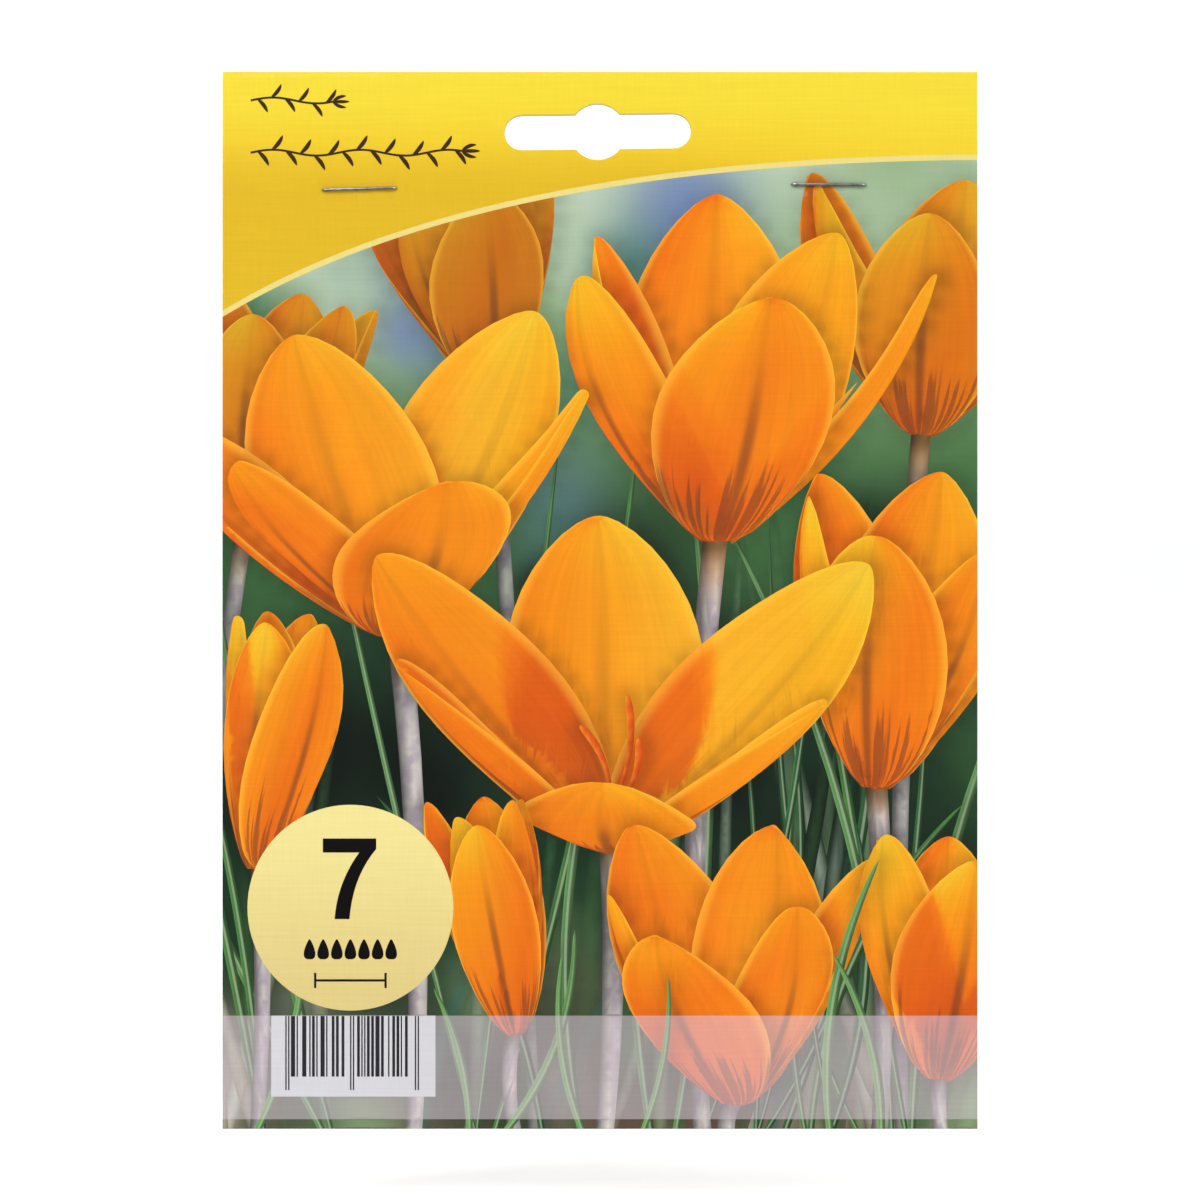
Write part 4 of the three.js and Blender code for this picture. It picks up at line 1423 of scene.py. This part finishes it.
def add_sheath(bm, outline, place, number, draw):
    """The torn sheath round a shoot's foot, and loose fibres beside it."""
    wide, foot = outline[1]
    sheath = [(wide * 1.5, foot - 0.3), (wide * 1.18, foot + 0.8), (wide * 1.1, foot + 1.9)]
    ring, ring_faces = turned(bm, sheath, SHEATH_AROUND)
    for v in ring:
        turn = math.atan2(v.co.z, v.co.x)
        rise = (v.co.y - sheath[0][1]) / 2.2
        v.co.y += rise * (0.5 * math.sin(5 * turn + number) + 0.45 * math.sin(13 * turn + 2 * number))
        v.co.x *= 1 + 0.07 * math.sin(7 * turn)
        v.co.z *= 1 + 0.07 * math.sin(7 * turn)
    bmesh.ops.transform(bm, matrix=place, verts=ring)
    bmesh.ops.solidify(bm, geom=ring_faces, thickness=0.12)
    for n in range(FIBRES):
        turn, lean_out, length = draw.uniform(0, 6.28), draw.uniform(0.05, 0.3), draw.uniform(1.4, 2.8)
        fibre = (
            place
            @ Matrix.Rotation(turn, 4, "Y")
            @ Matrix.Translation((wide * 1.22, foot + 0.4, 0))
            @ Matrix.Rotation(-lean_out, 4, "Z")
            @ Matrix.Rotation(math.radians(-90), 4, "X")
            @ Matrix.Translation((0, 0, length / 2))
        )
        ends = dict(cap_ends=True, segments=4, radius1=0.11, radius2=0.02)
        bmesh.ops.create_cone(bm, depth=length, matrix=fibre, **ends)


for number, (radius, half, axis, centre, shoots) in enumerate(corms, 1):
    draw = random.Random(40 + number)
    bm = bmesh.new()
    bare_layer = bm.verts.layers.float.new("bare")
    body, _ = turned(bm, corm_outline(radius, half), AROUND)
    roughen(body, radius, half, number, draw, bare_layer)
    shapes = [(shoot_outline(half, SHOOT), Matrix())]
    if shoots == 2:
        beside = Matrix.Translation((0.45 * radius, 0.84 * half, 0))
        beside = beside @ Matrix.Rotation(math.radians(-20), 4, "Z")
        shapes.append((shoot_outline(0, 3.6, 1.9), beside))
    for outline, place in shapes:
        foot = place @ Vector((0, outline[1][1] + 0.6, 0))
        made, faces = turned(bm, outline, SHOOT_AROUND, place)
        for face in faces:
            face.material_index = 1
        for v in made:
            v[bare_layer] = min(1.0, max(0.0, (v.co - foot).length / SHOOT))
        add_sheath(bm, outline, place, number, draw)
    # Root scars round the base plate
    for n in range(ROOT_SCARS):
        out = radius * (0.2 + 0.13 * math.sqrt(n / ROOT_SCARS))
        scar = Matrix.Rotation(GOLDEN_ANGLE * n, 4, "Y") @ Matrix.Translation((out, -0.9 * half, 0))
        scar = scar @ Matrix.Rotation(math.radians(90), 4, "X")
        bmesh.ops.create_cone(bm, cap_ends=True, segments=6, radius1=0.3, radius2=0.1, depth=0.7, matrix=scar)
    grown_layer = bm.verts.layers.float_vector.new("grown")
    for v in bm.verts:
        v[grown_layer] = v.co
    for face in bm.faces:
        face.smooth = True
    upright = Vector((0, 1, 0)).rotation_difference(axis)
    place = Matrix.Scale(MM, 4) @ Matrix.Translation(centre) @ upright.to_matrix().to_4x4()
    bmesh.ops.transform(bm, matrix=place, verts=bm.verts[:])
    corm = new_piece(f"crocus_corm_{number}", bm, coat, shoot_skin)
    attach(corm, "root")
    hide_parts(f"corm_{number}")

# ---- The staples ---------------------------------------------------------------------------------
# Galvanised wire, flattened a little, bent to a 13 mm crown. The legs go through panel, bag and flap
# and are clinched flat behind, with chisel-cut ends.
LEG = (CROWN - WIRE) / 2
BEND, CHISEL, CLINCH = 0.62, 0.7, 3
FRONT_WIRE = -HALF_STACK - STAPLE_GAP - WIRE / 2


def staple_wire():
    material, tree, shader, place = new_material("staple_steel")
    drawn = noise(tree, stretched(tree, place, (260, 2600, 2600)), 1.0, 3.0)
    dull = noise(tree, place, 700.0, 3.0)
    colour = mixed(tree, between(tree, dull, 0.35, 0.7), (0.62, 0.62, 0.63), (0.4, 0.39, 0.38))
    tree.links.new(colour, shader.inputs["Base Color"])
    shader.inputs["Metallic"].default_value = 1.0
    tree.links.new(between(tree, drawn, 0.3, 0.7, 0.29, 0.42), shader.inputs["Roughness"])
    bump(tree, shader, drawn, 0.25, 0.00004)
    return material


def edges_of(geometry):
    return [part for part in geometry if isinstance(part, bmesh.types.BMEdge)]


def drawn_on(bm, edges, step):
    """Draws the wire's open end on along a step."""
    made = bmesh.ops.extrude_edge_only(bm, edges=edges)["geom"]
    bmesh.ops.translate(bm, vec=step, verts=[part for part in made if isinstance(part, bmesh.types.BMVert)])
    return edges_of(made)


def bent(bm, edges, centre, angle):
    """Bends the wire's open end round a centre."""
    verts = list(dict.fromkeys(v for edge in edges for v in edge.verts))
    turn = dict(cent=centre, axis=(0, 0, 1), angle=math.radians(angle), steps=7)
    return edges_of(bmesh.ops.spin(bm, geom=verts + edges, **turn)["geom_last"])


steel = staple_wire()
for name, staple_x, staple_drop, tilt in STAPLES:
    bm = bmesh.new()
    flattened = Matrix.Diagonal((1, 0.86, 1, 1)) @ Matrix.Rotation(math.pi / 2, 4, "Y")
    start = Matrix.Translation((0, FRONT_WIRE, 0)) @ flattened
    ring = bmesh.ops.create_circle(bm, segments=16, radius=WIRE / 2, matrix=start)["verts"]
    edges = list(dict.fromkeys(edge for v in ring for edge in v.link_edges))
    edges = drawn_on(bm, edges, (LEG - BEND, 0, 0))
    edges = bent(bm, edges, (LEG - BEND, FRONT_WIRE + BEND, 0), 90)
    edges = drawn_on(bm, edges, (0, -2 * FRONT_WIRE - 2 * BEND, 0))
    edges = bent(bm, edges, (LEG - BEND, -FRONT_WIRE - BEND, 0), 90 - CLINCH)
    away = Vector((-math.cos(math.radians(CLINCH)), math.sin(math.radians(CLINCH)), 0))
    edges = drawn_on(bm, edges, away * (LEG - BEND - LEG_END - CHISEL))
    edges = drawn_on(bm, edges, away * CHISEL)
    tip = list(dict.fromkeys(v for edge in edges for v in edge.verts))
    middle = sum((v.co for v in tip), Vector()) / len(tip)
    for v in tip:
        v.co.y = middle.y + (v.co.y - middle.y) * 0.25
    bmesh.ops.contextual_create(bm, geom=edges)
    bmesh.ops.mirror(bm, geom=bm.verts[:] + bm.edges[:] + bm.faces[:], axis="X", merge_dist=1e-4)
    bmesh.ops.remove_doubles(bm, verts=bm.verts[:], dist=1e-4)
    bmesh.ops.recalc_face_normals(bm, faces=bm.faces[:])
    for face in bm.faces:
        face.smooth = len(face.verts) < 5
    place = Matrix.Scale(MM, 4) @ Matrix.Translation((BAG_X + staple_x, 0, drop(staple_drop)))
    place = place @ Matrix.Rotation(math.radians(-tilt), 4, "Y")
    bmesh.ops.transform(bm, matrix=place, verts=bm.verts[:])
    staple = new_piece(f"wire_{name}", bm, steel)
    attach(staple, "root")
    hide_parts(name)

# ---- Floor, lights and camera --------------------------------------------------------------------
# A pale floor that sweeps up out of sight on every side, soft light from large panels, and the camera
# square to the print.
STAGE_RADIUS, STAGE_HEIGHT, SWEEP_RADIUS = 2.6, 2.6, 0.9
FLOOR = card_low.z - 0.012
stage_bm = bmesh.new()
profile = [(0.0, 0.0), (STAGE_RADIUS - SWEEP_RADIUS, 0.0)]
profile += [
    (STAGE_RADIUS - SWEEP_RADIUS + SWEEP_RADIUS * math.sin(a), SWEEP_RADIUS * (1 - math.cos(a)))
    for a in np.linspace(0.1, math.pi / 2, 14)
]
profile.append((STAGE_RADIUS, STAGE_HEIGHT))
line = [stage_bm.verts.new((r, 0, FLOOR + h)) for r, h in profile]
edges = [stage_bm.edges.new(pair) for pair in zip(line, line[1:])]
full_turn = dict(cent=(0, 0, 0), axis=(0, 0, 1), angle=2 * math.pi, use_merge=True, use_duplicate=False)
bmesh.ops.spin(stage_bm, geom=line + edges, steps=96, **full_turn)
bmesh.ops.remove_doubles(stage_bm, verts=stage_bm.verts[:], dist=1e-5)
bmesh.ops.recalc_face_normals(stage_bm, faces=stage_bm.faces[:])
paper, tree, shader, place = new_material("pale_floor")
ways = parted(tree, place)
# White straight behind the packet, pale grey elsewhere, so that the clear bag stands out from the back
near_middle = between(tree, maths(tree, "ABSOLUTE", ways[0]), 0.5, 1.5, 1.0, 0.0)
behind = maths(tree, "MULTIPLY", between(tree, ways[1], -0.2, 0.12), near_middle)
tone = between(tree, noise(tree, place, 3.0, 3.0), 0.3, 0.7, 0.84, 0.88)
tone = maths(tree, "MULTIPLY", tone, between(tree, behind, 0.0, 1.0, 0.74, 1.0))
tree.links.new(grey_of(tree, tone), shader.inputs["Base Color"])
shader.inputs["Roughness"].default_value = 0.7
# Behind the packet the floor and its sweep glow, more strongly higher up: painted light that whitens the
# backdrop and also lights the packet
stage_glow = maths(tree, "MULTIPLY", behind, between(tree, ways[2], FLOOR, FLOOR + 0.6, 0.34, 0.74))
tree.links.new(stage_glow, shader.inputs["Emission Strength"])
shader.inputs["Emission Color"].default_value = (1.0, 1.0, 1.0, 1)
floor = new_piece("floor", stage_bm, paper)
for face in floor.data.polygons:
    face.use_smooth = True
floor.visible_glossy = False

centre = (card_low + card_high) / 2


def panel(name, place, wide, tall, power):
    data = bpy.data.lights.new(name, "AREA")
    data.shape, data.size, data.size_y, data.energy = "RECTANGLE", wide, tall, power
    lamp = bpy.data.objects.new(name, data)
    lamp.location = place
    lamp.rotation_mode = "QUATERNION"
    lamp.rotation_quaternion = (Vector(place) - centre).to_track_quat("Z", "Y")
    bpy.context.scene.collection.objects.link(lamp)


panel("front_left", (-0.9, -1.3, 0.9), 1.2, 1.2, 25)
panel("front_right", (1.2, -1.2, 0.5), 1.2, 1.2, 13.5)
panel("back_left", (-1.1, 1.0, 0.6), 0.28, 1.3, 4.6)
panel("back_middle", (0.35, 1.5, 0.9), 0.22, 1.2, 4)
panel("back_right", (1.2, 0.9, 0.5), 0.3, 1.3, 4.6)
panel("overhead", (0.0, 0.5, 1.5), 1.4, 0.5, 5)
# Pale all round, duller before the print, so that its varnish stays clear to the eye
world = bpy.data.worlds.new("studio")
world.use_nodes = True
tree = world.node_tree
heading = tree.nodes.new("ShaderNodeTexCoord").outputs["Generated"]
bands = noise(tree, stretched(tree, heading, (3.2, 3.2, 0.8)), 1.0, 2.0)
glow = between(tree, parted(tree, heading)[1], -0.45, 0.25, 0.16, 0.3)
glow = maths(tree, "MULTIPLY", glow, between(tree, bands, 0.35, 0.65, 0.45, 1.5))
tree.links.new(glow, tree.nodes["Background"].inputs["Strength"])
tree.nodes["Background"].inputs["Color"].default_value = (0.95, 0.97, 1.0, 1)
bpy.context.scene.world = world
bpy.context.scene.view_settings.view_transform = "Standard"
# The bag's films and their folds lie many deep at its foot, and light goes through all of them
bpy.context.scene.cycles.transparent_max_bounces = 24

LENS = 135
SENSOR = 36
PHOTO_WIDTH, CARD_PIXELS = 1200, 755
camera_data = bpy.data.cameras.new("camera")
camera_data.lens, camera_data.sensor_width = LENS, SENSOR
camera = bpy.data.objects.new("camera", camera_data)
distance = (CARD_WIDTH * MM) * PHOTO_WIDTH / CARD_PIXELS * LENS / SENSOR
camera.location = (centre.x, card_low.y - distance, centre.z)
camera.rotation_euler = (math.pi / 2, 0, 0)
bpy.context.scene.collection.objects.link(camera)
bpy.context.scene.camera = camera
